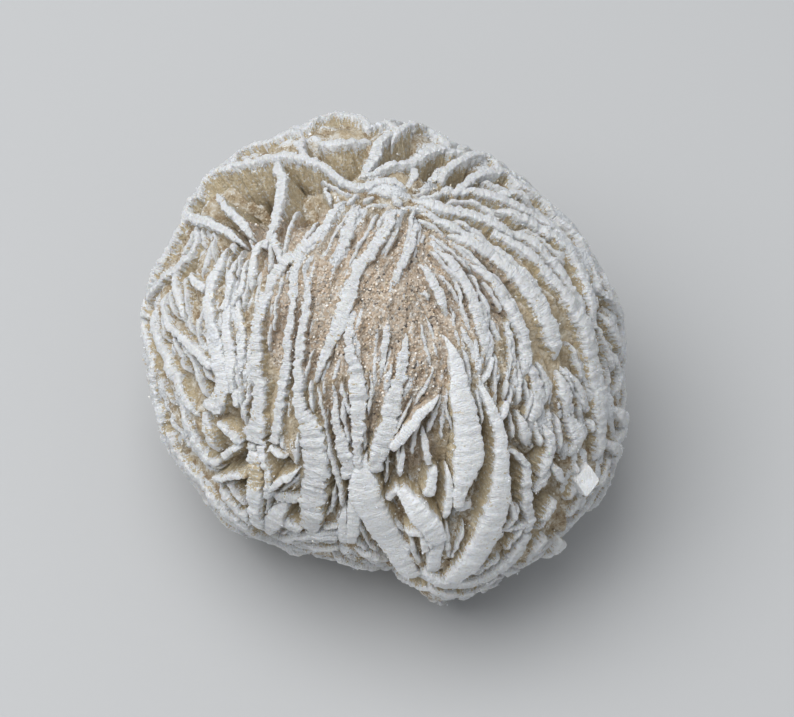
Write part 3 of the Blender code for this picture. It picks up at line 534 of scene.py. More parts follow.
LEFT_FLANK = (
    (0.1, (22.3, 24.4, 0.6), (22.1, 25.8, 0.7), (21.3, 27.4, 1.2), (20.9, 29.4, 1.4), (20.9, 32.6, 1.3),
     (21.6, 35.2, 1.4)),
    (0, (20.9, 31.6, 1.2), (21.3, 34.2, 1.8), (21.9, 37, 2.1), (21.8, 39.4, 2), (20.9, 40.9, 1.8)),
    (0, (20.1, 40.3, 0.8), (21.8, 41.2, 0.9)),
    (-0.1, (22.4, 30.2, 0.7), (22.4, 33, 1), (22.8, 36, 1.3), (22.9, 39.4, 0.6)),
    (-0.4, (23.3, 29.6, 0.5), (23.7, 32.4, 0.9), (23.9, 34.8, 1), (23.6, 37.2, 0.5)),
    (-0.5, (24.5, 32.6, 0.5), (24.8, 35, 0.7), (24.4, 38.4, 0.5)),
    (-0.1, (23.3, 25.4, 0.5), (23.1, 27, 0.6), (22.8, 29, 0.7), (22, 30.9, 0.8)),
    (-0.2, (24.4, 25.5, 0.4), (24.2, 27, 0.5), (23.9, 28.6, 0.5), (22.9, 30.4, 0.6)),
    (0, (26.1, 23.4, 0.6), (25.4, 25.6, 0.8), (25.2, 27.5, 1), (24.8, 28.9, 0.8)),
    (-0.1, (18.5, 26.9, 0.6), (19.2, 28, 0.8), (20.1, 28.9, 0.7)),
    (-0.1, (17, 27, 0.6), (17.2, 28.8, 0.9), (17.9, 30.7, 0.8), (18, 32.4, 0.5)),
    (-0.1, (16.2, 28.8, 0.5), (16.1, 30.9, 0.7), (16.6, 32.4, 0.8), (17.5, 33.7, 0.7)),
    (0.2, (17.4, 33.1, 0.6), (19.2, 34.8, 1.1), (21, 36.8, 0.6)),
    (0.1, (15.2, 30.4, 0.6), (15.2, 32.6, 0.8), (16.1, 35, 1.1), (17, 37.4, 1.4), (18, 39.4, 1.1),
     (19.4, 41.9, 0.7)),
    (0, (14.1, 29.8, 0.7), (14, 32, 0.8), (14.4, 34, 1), (14.9, 36.4, 1.2), (15.1, 39, 1.3),
     (15.7, 41.8, 1.3), (16.6, 44.6, 1)),
    (0, (16.2, 43.4, 1.2), (17.6, 45.8, 1.4), (20, 48.8, 1.2)),
    (0, (19.6, 48.2, 1.1), (21.4, 50.6, 1.3), (23.8, 52.8, 1.1)),
    (-0.2, (23.2, 39, 0.8), (23.3, 40.9, 0.9)),
    (0.1, (21.6, 42.2, 0.4), (22.8, 43.3, 0.6), (23.9, 44.5, 0.5)),
    (0.1, (23.7, 44.6, 0.5), (22.8, 45.2, 0.7), (21.9, 46, 0.6)),
    (0.1, (21.1, 48, 0.4), (22.8, 47.9, 0.6), (24.3, 47.7, 0.5)),
    (-0.4, (24.4, 45, 0.8), (25.2, 45, 0.7)),
    (0, (25.2, 45.4, 1.6), (25.3, 48, 1.9), (25.3, 50.6, 1.8), (25.4, 53, 1.5)),
    (0.2, (26, 44.7, 0.9), (26.4, 46.4, 0.8), (26.7, 48, 0.8), (26.5, 50, 0.7)),
    (0.1, (26.8, 44.8, 0.6), (28.6, 45.8, 0.5)),
    (0.4, (29.8, 47, 0.5), (28.2, 48.1, 0.7), (26.7, 49.1, 0.6)),
    (-0.2, (27, 49.9, 0.9), (28.6, 50.1, 1.3), (30, 50.2, 1)),
    (0.2, (28.4, 50.6, 1), (27.4, 51.9, 2), (26.6, 53.5, 1.6)),
    (-0.2, (21.2, 48.6, 0.8), (22.4, 50.2, 1.3), (23.8, 51.9, 1.2), (24.6, 52.8, 0.8)),
    (-0.1, (20.2, 41.4, 0.8), (20.6, 43.4, 1.7), (21.2, 45.6, 1.3)),
    (-0.1, (17.6, 40, 0.6), (18.3, 42.4, 1), (19.8, 45.2, 1), (21.4, 47.4, 0.8)),
    (-0.3, (20, 46.4, 0.5), (21.4, 46.6, 0.5)),
    (0.2, (13.5, 31.6, 0.3), (14.2, 31.4, 0.6)),
)
SKIRT = (
    (0, (43, 59.2, 0.8), (45.5, 59.8, 0.9), (48, 59.4, 0.9), (50, 58.2, 0.8)),
    (0, (42.5, 57.8, 0.9), (45, 58.7, 1.2), (48, 58.4, 1.3), (50.4, 57, 1.3), (52, 55.6, 0.9)),
    (0, (27.8, 54.2, 0.6), (30.5, 54, 0.6), (33.6, 54.1, 0.6)),
    (0, (30.2, 55, 0.5), (33.7, 55.3, 0.6)),
    (0, (35.2, 55.5, 0.7), (37.2, 56, 0.9), (38.8, 56.5, 0.8)),
    (0, (33, 55.8, 0.7), (35.5, 56.8, 0.8), (38.5, 57.6, 0.8)),
    (0.2, (28.3, 52.3, 1.2), (30, 53.3, 1.3)),
    (0, (39.5, 57.6, 0.8), (41, 58.5, 0.8), (43, 59.4, 0.7)),
    (0, (53.2, 53.8, 1.2), (51.6, 56, 1.5), (50.2, 57.7, 1.1)),
    (0, (23.2, 52.2, 1), (25, 53.5, 1.2), (27.2, 54.6, 1)),
    (-0.2, (30.4, 53.7, 0.7), (34.2, 53.8, 0.7)),
)
RIGHT_SIDE = (
    (-0.1, (54.7, 42.4, 0.6), (55.3, 44, 1), (54.6, 48, 0.6)),
    (0, (57.2, 41.4, 0.8), (58, 43.6, 2), (57.6, 46, 1.3)),
    (-0.2, (53.7, 49.5, 0.5), (54.7, 48.3, 0.9), (55.4, 47.2, 0.5)),
    (-0.2, (51.1, 45.2, 0.4), (52.3, 45.9, 0.6), (53.4, 47.1, 0.6)),
    (0, (53, 46.8, 0.6), (52.9, 49.6, 1), (53.3, 52, 1.1), (52.9, 53.6, 0.8)),
    (0.1, (55.8, 50.2, 0.8), (54.5, 52.4, 0.9)),
    (-0.3, (50.5, 53.4, 0.5), (53.6, 52.6, 0.6)),
    (0.1, (54.9, 53.9, 0.7), (53.4, 55.5, 0.9)),
    (0.7, (56.2, 53.9, 1.4), (56.4, 55.6, 2.4), (55, 57, 1.8)),
    (-0.4, (58.8, 49.8, 0.9), (57.4, 52.2, 1.1)),
    (-0.3, (52.2, 41.2, 0.6), (52.8, 43.2, 1.4), (53.4, 45, 1.5)),
    (0, (60.5, 29, 0.8), (62, 30.6, 1), (62.5, 32.6, 0.9)),
    (0, (60.6, 31, 0.7), (61.6, 33, 1), (62.5, 35.6, 0.9)),
    (0, (61.4, 34.8, 0.8), (62.3, 37.4, 1.1), (62.2, 39.8, 1)),
    (0.4, (61.6, 41, 1.1), (62.5, 42.6, 1.8), (61.8, 44.2, 1.1)),
    (0.3, (60.8, 44.4, 0.8), (62, 45.3, 1.4), (61.6, 46.2, 0.9)),
    (0, (61.3, 46, 0.9), (60.7, 47.8, 1), (59.8, 49.4, 0.8)),
    (-0.1, (55.5, 46.7, 0.5), (56.2, 47.6, 0.8), (56.8, 48.4, 0.3)),
    (0, (59.4, 42.2, 0.6), (59.7, 43.2, 0.8)),
)


def run_along(route):
    steps = np.linalg.norm(np.diff(route[:, :3], axis=0), axis=1)
    return np.concatenate([[0], np.cumsum(steps)])


def points_along(route, places):
    return np.stack([np.interp(places, run_along(route), column) for column in route.T], 1)


LEAST_STATIONS = 6
CURVE_STEPS = 24


def spread(route, pitch):
    """Even stations on a smooth curve through a route's rows, at about the pitch."""
    route = np.asarray(route, float)
    padded = np.vstack([2 * route[0] - route[1], route, 2 * route[-1] - route[-2]])
    fine = []
    for p0, p1, p2, p3 in zip(padded, padded[1:], padded[2:], padded[3:]):
        t = np.linspace(0, 1, CURVE_STEPS, endpoint=False)[:, None]
        bend = 2 * p1 + (p2 - p0) * t + (2 * p0 - 5 * p1 + 4 * p2 - p3) * t**2
        fine.append((bend + (3 * p1 - p0 - 3 * p2 + p3) * t**3) / 2)
    fine = np.vstack([*fine, route[-1:]])
    length = run_along(fine)[-1]
    stations = max(LEAST_STATIONS, round(length / pitch) + 1)
    return points_along(fine, np.linspace(0, length, stations))


CREST_PITCH = 0.3


def flat_crests(tables):
    """Places, directions and half widths along the crests, on the sheet, and whose crest it is."""
    rows = []
    for number, (level, *route) in enumerate(tables):
        x, y, width = np.asarray(route, float).T
        fine = spread(np.column_stack([x, y, 0 * x, width]), CREST_PITCH)
        heading = np.gradient(fine[:, :2], axis=0)
        heading /= np.linalg.norm(heading, axis=1, keepdims=True)
        owner = np.full(len(fine), number)
        rows.append(np.column_stack([fine[:, :2], heading, fine[:, 3] / 2, owner]))
    return np.concatenate(rows)


def gap_to(crests, x, y):
    """Distance on the sheet from a place to the nearest side of a crest."""
    return np.min(np.hypot(crests[:, 0] - x, crests[:, 1] - y) - crests[:, 4])


JOINED_GAP = 0.25


def grown_ends(tables):
    """For each blade, whether its first and last ends run into another blade's crest."""
    crests = flat_crests(tables)
    grown = []
    for number, (level, *route) in enumerate(tables):
        others = crests[crests[:, 5] != number]
        grown.append([gap_to(others, x, y) < JOINED_GAP for x, y, _ in (route[0], route[-1])])
    return grown


FOOT_DEPTH = 1.6
FACE_PITCH = 0.15
BLADE = {
    "ragged": 0.8, "rind": 0.7, "crust": 1.0, "lines": 0.05, "sugar": 1.0, "flare": 0.18, "fullness": 0.8,
    "crest_places": np.array([0.1, 0.32, 0.55, 0.76, 0.91, 1.0]),
    "side_places": np.array([0.14, 0.32, 0.56, 0.86, 1.25, 1.8, 2.7]),
}
# How a blade's ends narrow and drop: a short blade is blunt, and a grown end keeps its width
SHORT_BLADE = 3.6
BLUNT_REACH = 0.2
BLUNT_WIDTH = 0.5
BLUNT_DROP = 0.35
POINT_WIDTH = 0.12
POINT_DROP = 0.9
GROWN_DROP = 0.3
CREST_SINK = 0.02
SHOULDER = 0.26
# Wandering forms along a crest: height, size, seed
SWAY = ((0.16, 2.2, 11), (0.09, 0.8, 12))
ROLL = ((0.14, 3.0, 10),)
EDGES = ((0.15, 1.0, 15), (0.20, 0.4, 18))
NOTCHES = ((0.30, 1.3, 13, 0.25), (0.18, 0.4, 14, 0.0))
FRINGE = (0.14, 0.21, 30)
RIND_WAVES = ((0.6, 2.4, 21), (0.45, 0.6, 22))
RIND_LEDGE = 0.08
GRAINY = ((0.04, 0.9, 23), (0.08, 0.42, 24), (0.10, 0.28, 25))
GROWTH = (0.03, 0.42, 26)
GROWTH_STRETCH = np.array([1, 0.25, 0.22])
FURROWS = (0.30, 27)
FURROW_STRETCH = np.array([1, 0.15, 0.3])


def end_shape(grown, distance, length, width):
    """Share of the width kept and drop of the crest, at distances from one end."""
    blunt = length < SHORT_BLADE
    reach = BLUNT_REACH * length if blunt else min(0.9 + 0.8 * width.mean(), 0.45 * length)
    taper = np.clip(distance / reach, 0, 1)
    if grown:
        return np.ones(len(taper)), GROWN_DROP * (1 - taper)
    if blunt:
        return BLUNT_WIDTH + (1 - BLUNT_WIDTH) * taper**0.5, BLUNT_DROP * (1 - taper) ** 2
    return POINT_WIDTH + (1 - POINT_WIDTH) * taper**0.62, POINT_DROP * (1 - taper) ** 2


def blade_mesh(rows, level, number, grown, style):
    """Points, faces and values of one blade. rows: its crest on the skin and its width, as fine
    stations; grown: which ends run into other blades."""
    ragged, crust = style["ragged"], style["crust"]
    crest_places, side_places = style["crest_places"], style["side_places"]
    crest, width = rows[:, :3], rows[:, 3]
    along = run_along(rows)
    length = along[-1]
    line = np.stack([along, np.full(len(along), 5.0 * number), 0 * along], 1)
    normal = skin_normal(crest)
    side = np.cross(np.gradient(crest, axis=0), normal)
    side /= np.linalg.norm(side, axis=1, keepdims=True)
    crest = crest + waves(line, SWAY)[:, None] * side
    ends = [end_shape(is_grown, distance, length, width)
            for is_grown, distance in zip(grown, (along, length - along))]
    narrow = ends[0][0] * ends[1][0]
    drop = ends[0][1] + ends[1][1]
    notch = sum(deep * np.clip(noise(line, size, seed) - least, 0, 1) for deep, size, seed, least in NOTCHES)
    drop = drop + ragged * notch + np.clip(-waves(line, ROLL), 0, 1)
    depth = groove_depth(crest) + FOOT_DEPTH + level
    top = crest + (level - CREST_SINK - drop)[:, None] * normal
    # each half of the section goes round the crest's shoulder and down its side to the sand
    halves = []
    for hand in (-1, 1):
        half = style["fullness"] * width / 2 * narrow * (1 + ragged * waves(line, EDGES, hand))
        fringe = noise(line, FRINGE[1], FRINGE[2] + hand)
        half = half + FRINGE[0] * ragged * narrow * np.clip(half / 0.35, 0, 1) * fringe
        shares = crest_places[None, :] * np.ones((len(rows), 1))
        shoulder = SHOULDER * half[:, None] * (1 - np.sqrt(1 - 0.96 * shares**2))
        downs = side_places[None, :] * np.minimum(1, depth / side_places[-1])[:, None]
        downs = np.concatenate([downs, np.maximum(depth - drop, downs[:, -1] + 0.05)[:, None]], 1)
        flared = half[:, None] + style["flare"] * downs * narrow[:, None]
        aside = np.concatenate([half[:, None] * shares, flared], 1)
        halves.append((hand * aside, np.concatenate([shoulder, shoulder[:, -1:] + downs], 1)))
    across, below = (np.concatenate([left[:, ::-1], right], 1) for left, right in zip(*halves))
    count, turns = across.shape
    points = top[:, None] + across[..., None] * side[:, None] - below[..., None] * normal[:, None]
    # outward direction of the section at each of its places
    lean = np.concatenate([0.9 * crest_places**1.5, np.ones(len(side_places) + 1)])
    lean = np.concatenate([-lean[::-1], lean])
    push = lean[None, :, None] * side[:, None] + np.sqrt(1 - lean**2)[None, :, None] * normal[:, None]
    flat, push = points.reshape(-1, 3), push.reshape(-1, 3)
    # the rind's edge, a step where it ends, and the crystal's grain and growth lines
    lies = np.stack([np.repeat(along, turns), across.ravel(), below.ravel()], 1)
    hand = np.stack([lies[:, 0], 9 * np.sign(lies[:, 1]) + 5 * number, 0 * lies[:, 0]], 1)
    white = style["rind"] * (1 + waves(hand, RIND_WAVES)) - lies[:, 2]
    for spot, reach, change in BARE_SPOTS:
        white = white - change * np.exp(-((np.linalg.norm(flat - spot, axis=1) / reach) ** 4))
    ledge = RIND_LEDGE * np.clip(white / 0.15, -0.5, 0.5)
    growth = GROWTH[0] * noise(lies * GROWTH_STRETCH + 7.0 * number, *GROWTH[1:])
    furrow = (1 - np.abs(noise(lies * FURROW_STRETCH + 3.0 * number, *FURROWS))) ** 3
    rise = crust * (waves(flat, GRAINY) + growth - style["lines"] * furrow) + ledge
    flat = flat + (rise * np.clip(narrow.repeat(turns), 0.3, 1))[:, None] * push
    ring = np.arange(turns)
    start = np.arange(count - 1)[:, None] * turns
    after = (ring + 1) % turns
    faces = np.stack([start + ring, start + turns + ring, start + turns + after, start + after], -1)
    pair = np.arange(turns // 2 - 1)
    cap = np.stack([pair, pair + 1, turns - 2 - pair, turns - 1 - pair], 1)
    faces = np.concatenate([faces.reshape(-1, 4), cap, (count - 1) * turns + cap[:, ::-1]])
    values = {
        "white": white, "along": lies[:, 0] + 11.0 * number, "across": lies[:, 1], "below": lies[:, 2],
        "sandy": sandiness(crest).repeat(turns), "sugar": np.full(len(flat), style["sugar"]),
    }
    return flat, faces, values, push


# Where crumbs and grains may lodge: places on the finished surfaces, outward directions,
# millimetres under the crest, and how sandy it is there
lodging = []


def blade_piece(name, blades, pitch, first, grown=None, **changes):
    """One piece out of blades given as (level, route) or as (level, rows on the skin)."""
    style = {**BLADE, **changes}
    made = []
    total = 0
    for number, (level, *route) in enumerate(blades):
        route = np.asarray(route if len(route) > 1 else route[0], float)
        if route.shape[1] == 3:
            route = np.column_stack([on_skin(route[:, :2]), route[:, 2]])
        rows = spread(route, pitch)
        heading = rows[:, :3] / np.linalg.norm(rows[:, :3], axis=1, keepdims=True)
        rows[:, :3] = heading * skin_radius(heading)[:, None]
        ends = grown[number] if grown else (False, False)
        points, faces, values, push = blade_mesh(rows, level, first + number, ends, style)
        made.append((points, faces + total, push, values))
        total += len(points)
    points, faces, push = (np.concatenate([blade[column] for blade in made]) for column in range(3))
    values = {key: np.concatenate([blade[3][key] for blade in made]) for key in made[0][3]}
    make_piece(name, points, faces, values, gypsum)
    lodging.append((points, push, values["below"], values["sandy"]))


REGIONS = (
    ("crown_blades", CROWN, {"ragged": 1.1, "rind": 0.7, "flare": 0.2}),
    ("right_fan_blades", RIGHT_FAN, {"ragged": 1.0, "rind": 0.6, "crust": 0.8, "fullness": 0.94}),
    ("heart_blades", HEART, {"ragged": 1.3, "rind": 0.5, "flare": 0.25, "fullness": 0.88}),
    ("lower_lenses", LENSES, {
        "ragged": 0.5, "rind": 0.7, "crust": 0.5, "lines": 0.06, "sugar": 0.6, "flare": 0.16,
        "fullness": 0.94,
    }),
    ("left_flank_blades", LEFT_FLANK, {"ragged": 1.1, "rind": 0.55, "crust": 0.8, "sugar": 0.8}),
    ("skirt_blades", SKIRT, {"ragged": 0.7, "rind": 0.8, "crust": 0.8}),
    ("right_side_blades", RIGHT_SIDE, {"ragged": 1.1, "rind": 0.6, "crust": 0.8}),
)
FACE_BLADES = [blade for _, blades, _ in REGIONS for blade in blades]
grown = grown_ends(FACE_BLADES)
first = 0
for name, blades, changes in REGIONS:
    blade_piece(name, blades, FACE_PITCH, first, grown[first:first + len(blades)], **changes)
    first += len(blades)


# --- Splinters between the blades ---------------------------------------------------------------
# Hair-thin lenses of gypsum that stayed low between the big ones and follow their swing. Few
# grow on the sandy heart, and none in the hollows under the crown.
SPLINTERS = 150
SPLINTER_TRIES = 14000
SPLINTER_REACH = 24.5
SPLINTER_GAP = 0.9
SPLINTER_STEP = 0.28
SPLINTER_PITCH = 0.22
SPLINTER_ROOM = 0.2
SPLINTER_OVERLAP = 0.1
SPLINTER_STEPS = (4, 16)
SPLINTER_SPIN = 14
SPLINTER_RIM = 24.0
SPLINTER_WIDTHS = (0.2, 0.42)
SPLINTER_SINKS = (0.1, 0.6)
FIRST_SPLINTER = 200
CROWN_FOOT = 18.3
HOLLOW_DEPTH = 3.5
BARE_FROST = -0.3
FIELD_START = 10.0
FIELD_STEP = 0.8
FIELD_SIZE = 72
FIELD_BLUR = 2.2
crests = flat_crests(FACE_BLADES)
chance = np.random.default_rng(5)

# Where frost covers the sand between the crystals, or leaves it bare: sheet x, y, radius, change
FROST_CHANGES = (
    (46, 21.5, 5, 0.4), (52.5, 19.5, 5, 0.5), (60.5, 27, 4, 0.3), (61.5, 38.5, 4, 0.8),
    (38, 14.5, 2.5, 0.5), (22, 36.5, 3.5, 0.6), (30, 25, 3.5, 0.4), (24.8, 18.5, 4.5, -2),
    (33, 15, 3.5, -1.5), (17.5, 26, 2.6, -1), (54.5, 33, 4.5, -0.9), (27, 38.5, 3, -0.7),
    (55.5, 50.5, 4, -0.7), (44.5, 47.5, 4.5, -0.7), (22.5, 46.5, 4, -0.6), (29.5, 47.5, 3, -0.5),
    (30.3, 20.2, 2.6, -1.2), (19, 37.8, 2.4, -1), (23.4, 42, 1.8, -0.9), (17.9, 29.2, 1.4, -0.9),
    (53.4, 33.6, 1.9, -1.2), (56.8, 33.4, 1.8, -1), (56.9, 38, 1.6, -0.8), (50.8, 25.1, 1.2, -1.1),
    (53.2, 27, 1.1, -1.1), (55.9, 27.6, 1, -0.9), (41.2, 14.6, 2.2, -1.8), (47, 17, 1.7, -1.8),
    (39.9, 17.6, 1.6, -1.2), (45, 15.6, 0.9, -1), (38.5, 13, 0.9, -1), (34.9, 12.3, 1.3, -1),
    (26.8, 41, 1, -1.6), (29.4, 43, 1.2, -1.2), (20.6, 43.6, 1.3, -1.2), (23.5, 46, 1.2, -1.2),
    (23.4, 49.2, 1.2, -1.2), (27.6, 46.8, 1.2, -1.2), (29.4, 51.4, 1, -1.2), (61, 32.4, 1.7, -1.3),
    (60.6, 27.2, 1, -1), (39.5, 19, 3, 0.5), (47, 20.8, 3.5, 0.3), (20.5, 22.8, 1.6, 0.8),
)
FROST_SPOTS = spots(FROST_CHANGES)


def frostiness(points):
    return changed(points, 0, FROST_SPOTS)


# Directions of the crests over the sheet, blended as doubled angles so that both ways along a crest
# count as one
field_lines = [FIELD_START + FIELD_STEP * np.arange(FIELD_SIZE)] * 2
field_y, field_x = np.meshgrid(*field_lines, indexing="ij")
distance = (field_x[..., None] - crests[:, 0]) ** 2 + (field_y[..., None] - crests[:, 1]) ** 2
weight = np.exp(-distance / FIELD_BLUR**2)
crest_angle = 2 * np.arctan2(crests[:, 3], crests[:, 2])
field = np.stack([weight @ np.cos(crest_angle), weight @ np.sin(crest_angle)], -1)
field /= np.linalg.norm(field, axis=-1, keepdims=True) + 1e-12


def swing(places):
    """Directions of the crests near places on the sheet."""
    cell = (places - FIELD_START) / FIELD_STEP
    low = np.clip(np.floor(cell).astype(int), 0, FIELD_SIZE - 2)
    (x, y), (u, v) = low.T, np.clip(cell - low, 0, 1).T[..., None]
    upper = field[y, x] * (1 - u) + field[y, x + 1] * u
    lower = field[y + 1, x] * (1 - u) + field[y + 1, x + 1] * u
    twice = upper * (1 - v) + lower * v
    half = np.arctan2(twice[:, 1], twice[:, 0]) / 2
    return np.stack([np.cos(half), np.sin(half)], 1)


def splinter_route(middle, turn):
    """Places from end to end of a splinter, grown both ways until a crest is in the way."""
    route = [middle]
    for way in (-1, 1):
        spot, heading = middle, way * turn
        for _ in range(int(chance.integers(*SPLINTER_STEPS))):
            spot = spot + SPLINTER_STEP * heading
            if gap_to(crests, *spot) < -SPLINTER_OVERLAP:
                break
            ahead = swing(spot[None])[0]
            heading = 0.7 * heading + 0.3 * ahead * np.sign(ahead @ heading)
            heading /= np.linalg.norm(heading)
            route = [spot] + route if way < 0 else route + [spot]
    return np.array(route)


splinters = []
taken = np.full((1, 2), -99.0)
for _ in range(SPLINTER_TRIES):
    if len(splinters) >= SPLINTERS:
        break
    angle = chance.uniform(0, 2 * pi)
    reach = SPLINTER_REACH * chance.uniform() ** 0.5
    middle = np.array([SHEET_MIDDLE[0] + reach * cos(angle), SHEET_MIDDLE[1] - reach * sin(angle)])
    if middle[1] < CROWN_FOOT or gap_to(crests, *middle) < SPLINTER_ROOM:
        continue
    if np.min(np.hypot(*(taken - middle).T)) < SPLINTER_GAP:
        continue
    spot = on_skin([middle])
    if chance.uniform() < 1.3 * sandiness(spot)[0]:
        continue
    if groove_depth(spot)[0] > HOLLOW_DEPTH or frostiness(spot)[0] < BARE_FROST:
        continue
    turn = swing(middle[None])[0]
    spin = radians(chance.normal(0, SPLINTER_SPIN))
    turn = np.array([turn[0] * cos(spin) - turn[1] * sin(spin), turn[0] * sin(spin) + turn[1] * cos(spin)])
    route = splinter_route(middle, turn)
    radius = np.hypot(route[:, 0] - SHEET_MIDDLE[0], route[:, 1] - SHEET_MIDDLE[1])
    if len(route) < 5 or radius.max() > SPLINTER_RIM:
        continue
    taken = np.concatenate([taken, route[::2]])
    width = chance.uniform(*SPLINTER_WIDTHS) * np.sin(np.linspace(0.7, pi - 0.7, len(route)))
    splinters.append((-chance.uniform(*SPLINTER_SINKS), *np.column_stack([route, width]).tolist()))
blade_piece(
    "splinters", splinters, SPLINTER_PITCH, FIRST_SPLINTER, ragged=1.3, rind=0.6, crust=1.0,
    crest_places=np.array([0.4, 1.0]), side_places=np.array([0.3, 1.0]),
)


# --- Heart of sand ------------------------------------------------------------------------------
# The rosette grew in wet sand, and a ball of caked sand is left between its crystals: rounded
# quartz grains of a quarter of a millimetre, tan and pink, a few dark, glued by gypsum. It is
# lowest in the deep grooves and heaped up on the middle of the show face.
CORE_SQUARES = 112
SAND_LIFT = 1.9
# How much closer the squares stand on the show face than behind
FACE_FINER = 0.4
FROST_GAP = 0.45
MEMORY_SHARES = 8
UPPER_POLE = (39.0, 19.0)
LOWER_POLE = (44.0, 59.0)
# Lumps of the sand: height, size, seed
CORE_LUMPS = ((0.30, 2.6, 1), (0.15, 1.1, 2))
CORE_PIMPLES = ((0.10, 0.5, 3), (0.11, 0.3, 4))
# Streaks of the sand: size, steps and seed on the show face, then size and seed behind
CORE_RIDGES = ((0.42, 9, 41), (0.75, 43))
CORE_HAIRS = ((0.22, 6, 42), (0.4, 44))
upper_pole, lower_pole = on_skin([UPPER_POLE, LOWER_POLE])
pole_axis = (lower_pole - upper_pole) / np.linalg.norm(lower_pole - upper_pole)
pole_middle = (upper_pole + lower_pole) / 2
pole_forward = np.array([0, 0, 1.0]) - pole_axis[2] * pole_axis
pole_forward /= np.linalg.norm(pole_forward)
pole_side = np.cross(pole_axis, pole_forward)


def cube(line, rounded):
    """Cube with its faces split into squares at the places on a line, blown up to a ball or not."""
    u, v = np.meshgrid(line, line, indexing="ij")
    one = np.ones_like(u)
    sheets = [(one, u, v), (-one, v, u), (v, one, u), (u, -one, v), (u, v, one), (v, u, -one)]
    points = np.concatenate([np.stack(s, -1).reshape(-1, 3) for s in sheets])
    if rounded:
        points /= np.linalg.norm(points, axis=1, keepdims=True)
    side = len(line)
    row = np.arange(side - 1)[:, None] * side + np.arange(side - 1)
    square = np.stack([row, row + side, row + side + 1, row + 1], -1).reshape(-1, 4)
    faces = np.concatenate([square + k * side**2 for k in range(6)])
    # seams: corners shared by two sheets become one
    _, first, same = np.unique(np.round(points, 6), axis=0, return_index=True, return_inverse=True)
    return points[first], same.ravel()[faces]


def streaks(places, size, steps, seed):
    """Noise drawn out along the swing of the crests, about -2 to 2."""
    total = noise(np.column_stack([places, 0 * places[:, 0]]), size, seed)
    for way in (-1, 1):
        spot, heading = places, way * swing(places)
        for _ in range(steps):
            spot = spot + 0.6 * size * heading
            ahead = swing(spot)
            heading = ahead * np.where((ahead * heading).sum(1) < 0, -1, 1)[:, None]
            total = total + noise(np.column_stack([spot, 0 * spot[:, 0]]), size, seed)
    return total / total.std()


def back_streaks(points, size, seed):
    """Noise drawn out from pole to pole."""
    reach = points - pole_middle
    turn = np.arctan2(reach @ pole_side, reach @ pole_forward)
    sweep = np.arccos(-reach @ pole_axis / np.linalg.norm(reach, axis=1))
    drawn = np.stack([19 * np.cos(turn), 19 * np.sin(turn), 3.5 * sweep], 1)
    return noise(drawn, size, seed) / 0.35


def beside_crests(skin, seen):
    """Sheet places of points, and how close they are to a crest of the show face, from 0 to 1."""
    shrink = SIGHT_DISTANCE / (SIGHT_DISTANCE - skin[:, 2])
    places = np.stack([SHEET_MIDDLE[0] + skin[:, 0] * shrink, SHEET_MIDDLE[1] - skin[:, 1] * shrink], 1)
    near = np.full(len(skin), 9.0)
    face = np.nonzero(seen > 0)[0]
    for part in np.array_split(face, MEMORY_SHARES):
        x, y = places[part].T
        gaps = np.hypot(crests[:, 0] - x[:, None], crests[:, 1] - y[:, None]) - 0.6 * crests[:, 4]
        near[part] = gaps.min(axis=1)
    return places, seen * np.exp(-((np.clip(near, 0, 9) / FROST_GAP) ** 2))


def both_streaks(skin, places, seen, face_kind, back_kind):
    """Streaks of the show face that pass over into those of the hidden side."""
    drawn = np.zeros(len(skin))
    drawn[seen > 0] = streaks(places[seen > 0], *face_kind)
    return seen * drawn + (1 - seen) * back_streaks(skin, *back_kind)


direction, core_faces = cube(np.tan(np.linspace(-pi / 4, pi / 4, CORE_SQUARES + 1)), True)
angle = np.arccos(np.clip(direction[:, 2], -1, 1))
closer = angle - FACE_FINER * np.sin(angle)
direction[:, :2] *= (np.sin(closer) / np.maximum(np.sin(angle), 1e-9))[:, None]
direction[:, 2] = np.cos(closer)
skin = direction * skin_radius(direction)[:, None]
out = skin_normal(skin)
seen = np.clip((skin[:, 2] + 3) / 6, 0, 1)
places, beside = beside_crests(skin, seen)
amount = sandiness(skin)
hollow = np.clip((groove_depth(skin) - 3.3) / 1.0, 0, 1)
bare = np.clip(-1.2 * frostiness(skin) - 0.15, 0, 0.65) * (1 - hollow)
ridges = both_streaks(skin, places, seen, *CORE_RIDGES)
hairs = both_streaks(skin, places, seen, *CORE_HAIRS)
core = skin - groove_depth(skin)[:, None] * out
lumps = SAND_LIFT * (1 - amount) * (1 - 0.9 * hollow) + waves(core, CORE_LUMPS)
lumps += (1 - 0.5 * amount) * (1 - 0.85 * bare) * (0.30 * np.clip(ridges, -1.5, 2) + 0.13 * hairs)
lumps += (1 - 0.7 * bare) * waves(core, CORE_PIMPLES)
core = core + lumps[:, None] * out
patches = 0.5 * ridges + 0.35 * hairs + 0.6 * noise(core, 1.7, 5)
frost = frostiness(skin) - 0.22 + (1 - 0.7 * bare) * patches
frost = frost - 0.9 * amount + (0.2 + amount) * beside

CRUST_STOPS = (
    (0.30, (0.32, 0.225, 0.13)),
    (0.44, (0.48, 0.38, 0.255)),
    (0.56, (0.65, 0.57, 0.445)),
    (0.68, (0.82, 0.80, 0.75)),
)
SMOOTH_STOPS = (
    (0.32, (0.42, 0.325, 0.195)),
    (0.50, (0.55, 0.45, 0.305)),
    (0.66, (0.70, 0.625, 0.48)),
)
FROST_COLOR = (0.85, 0.865, 0.88)
SAND_BUMP = 0.20

sand, tree, shader = new_material("caked_sand")
place = millimetres(tree)
color, mound = sand_color(place)
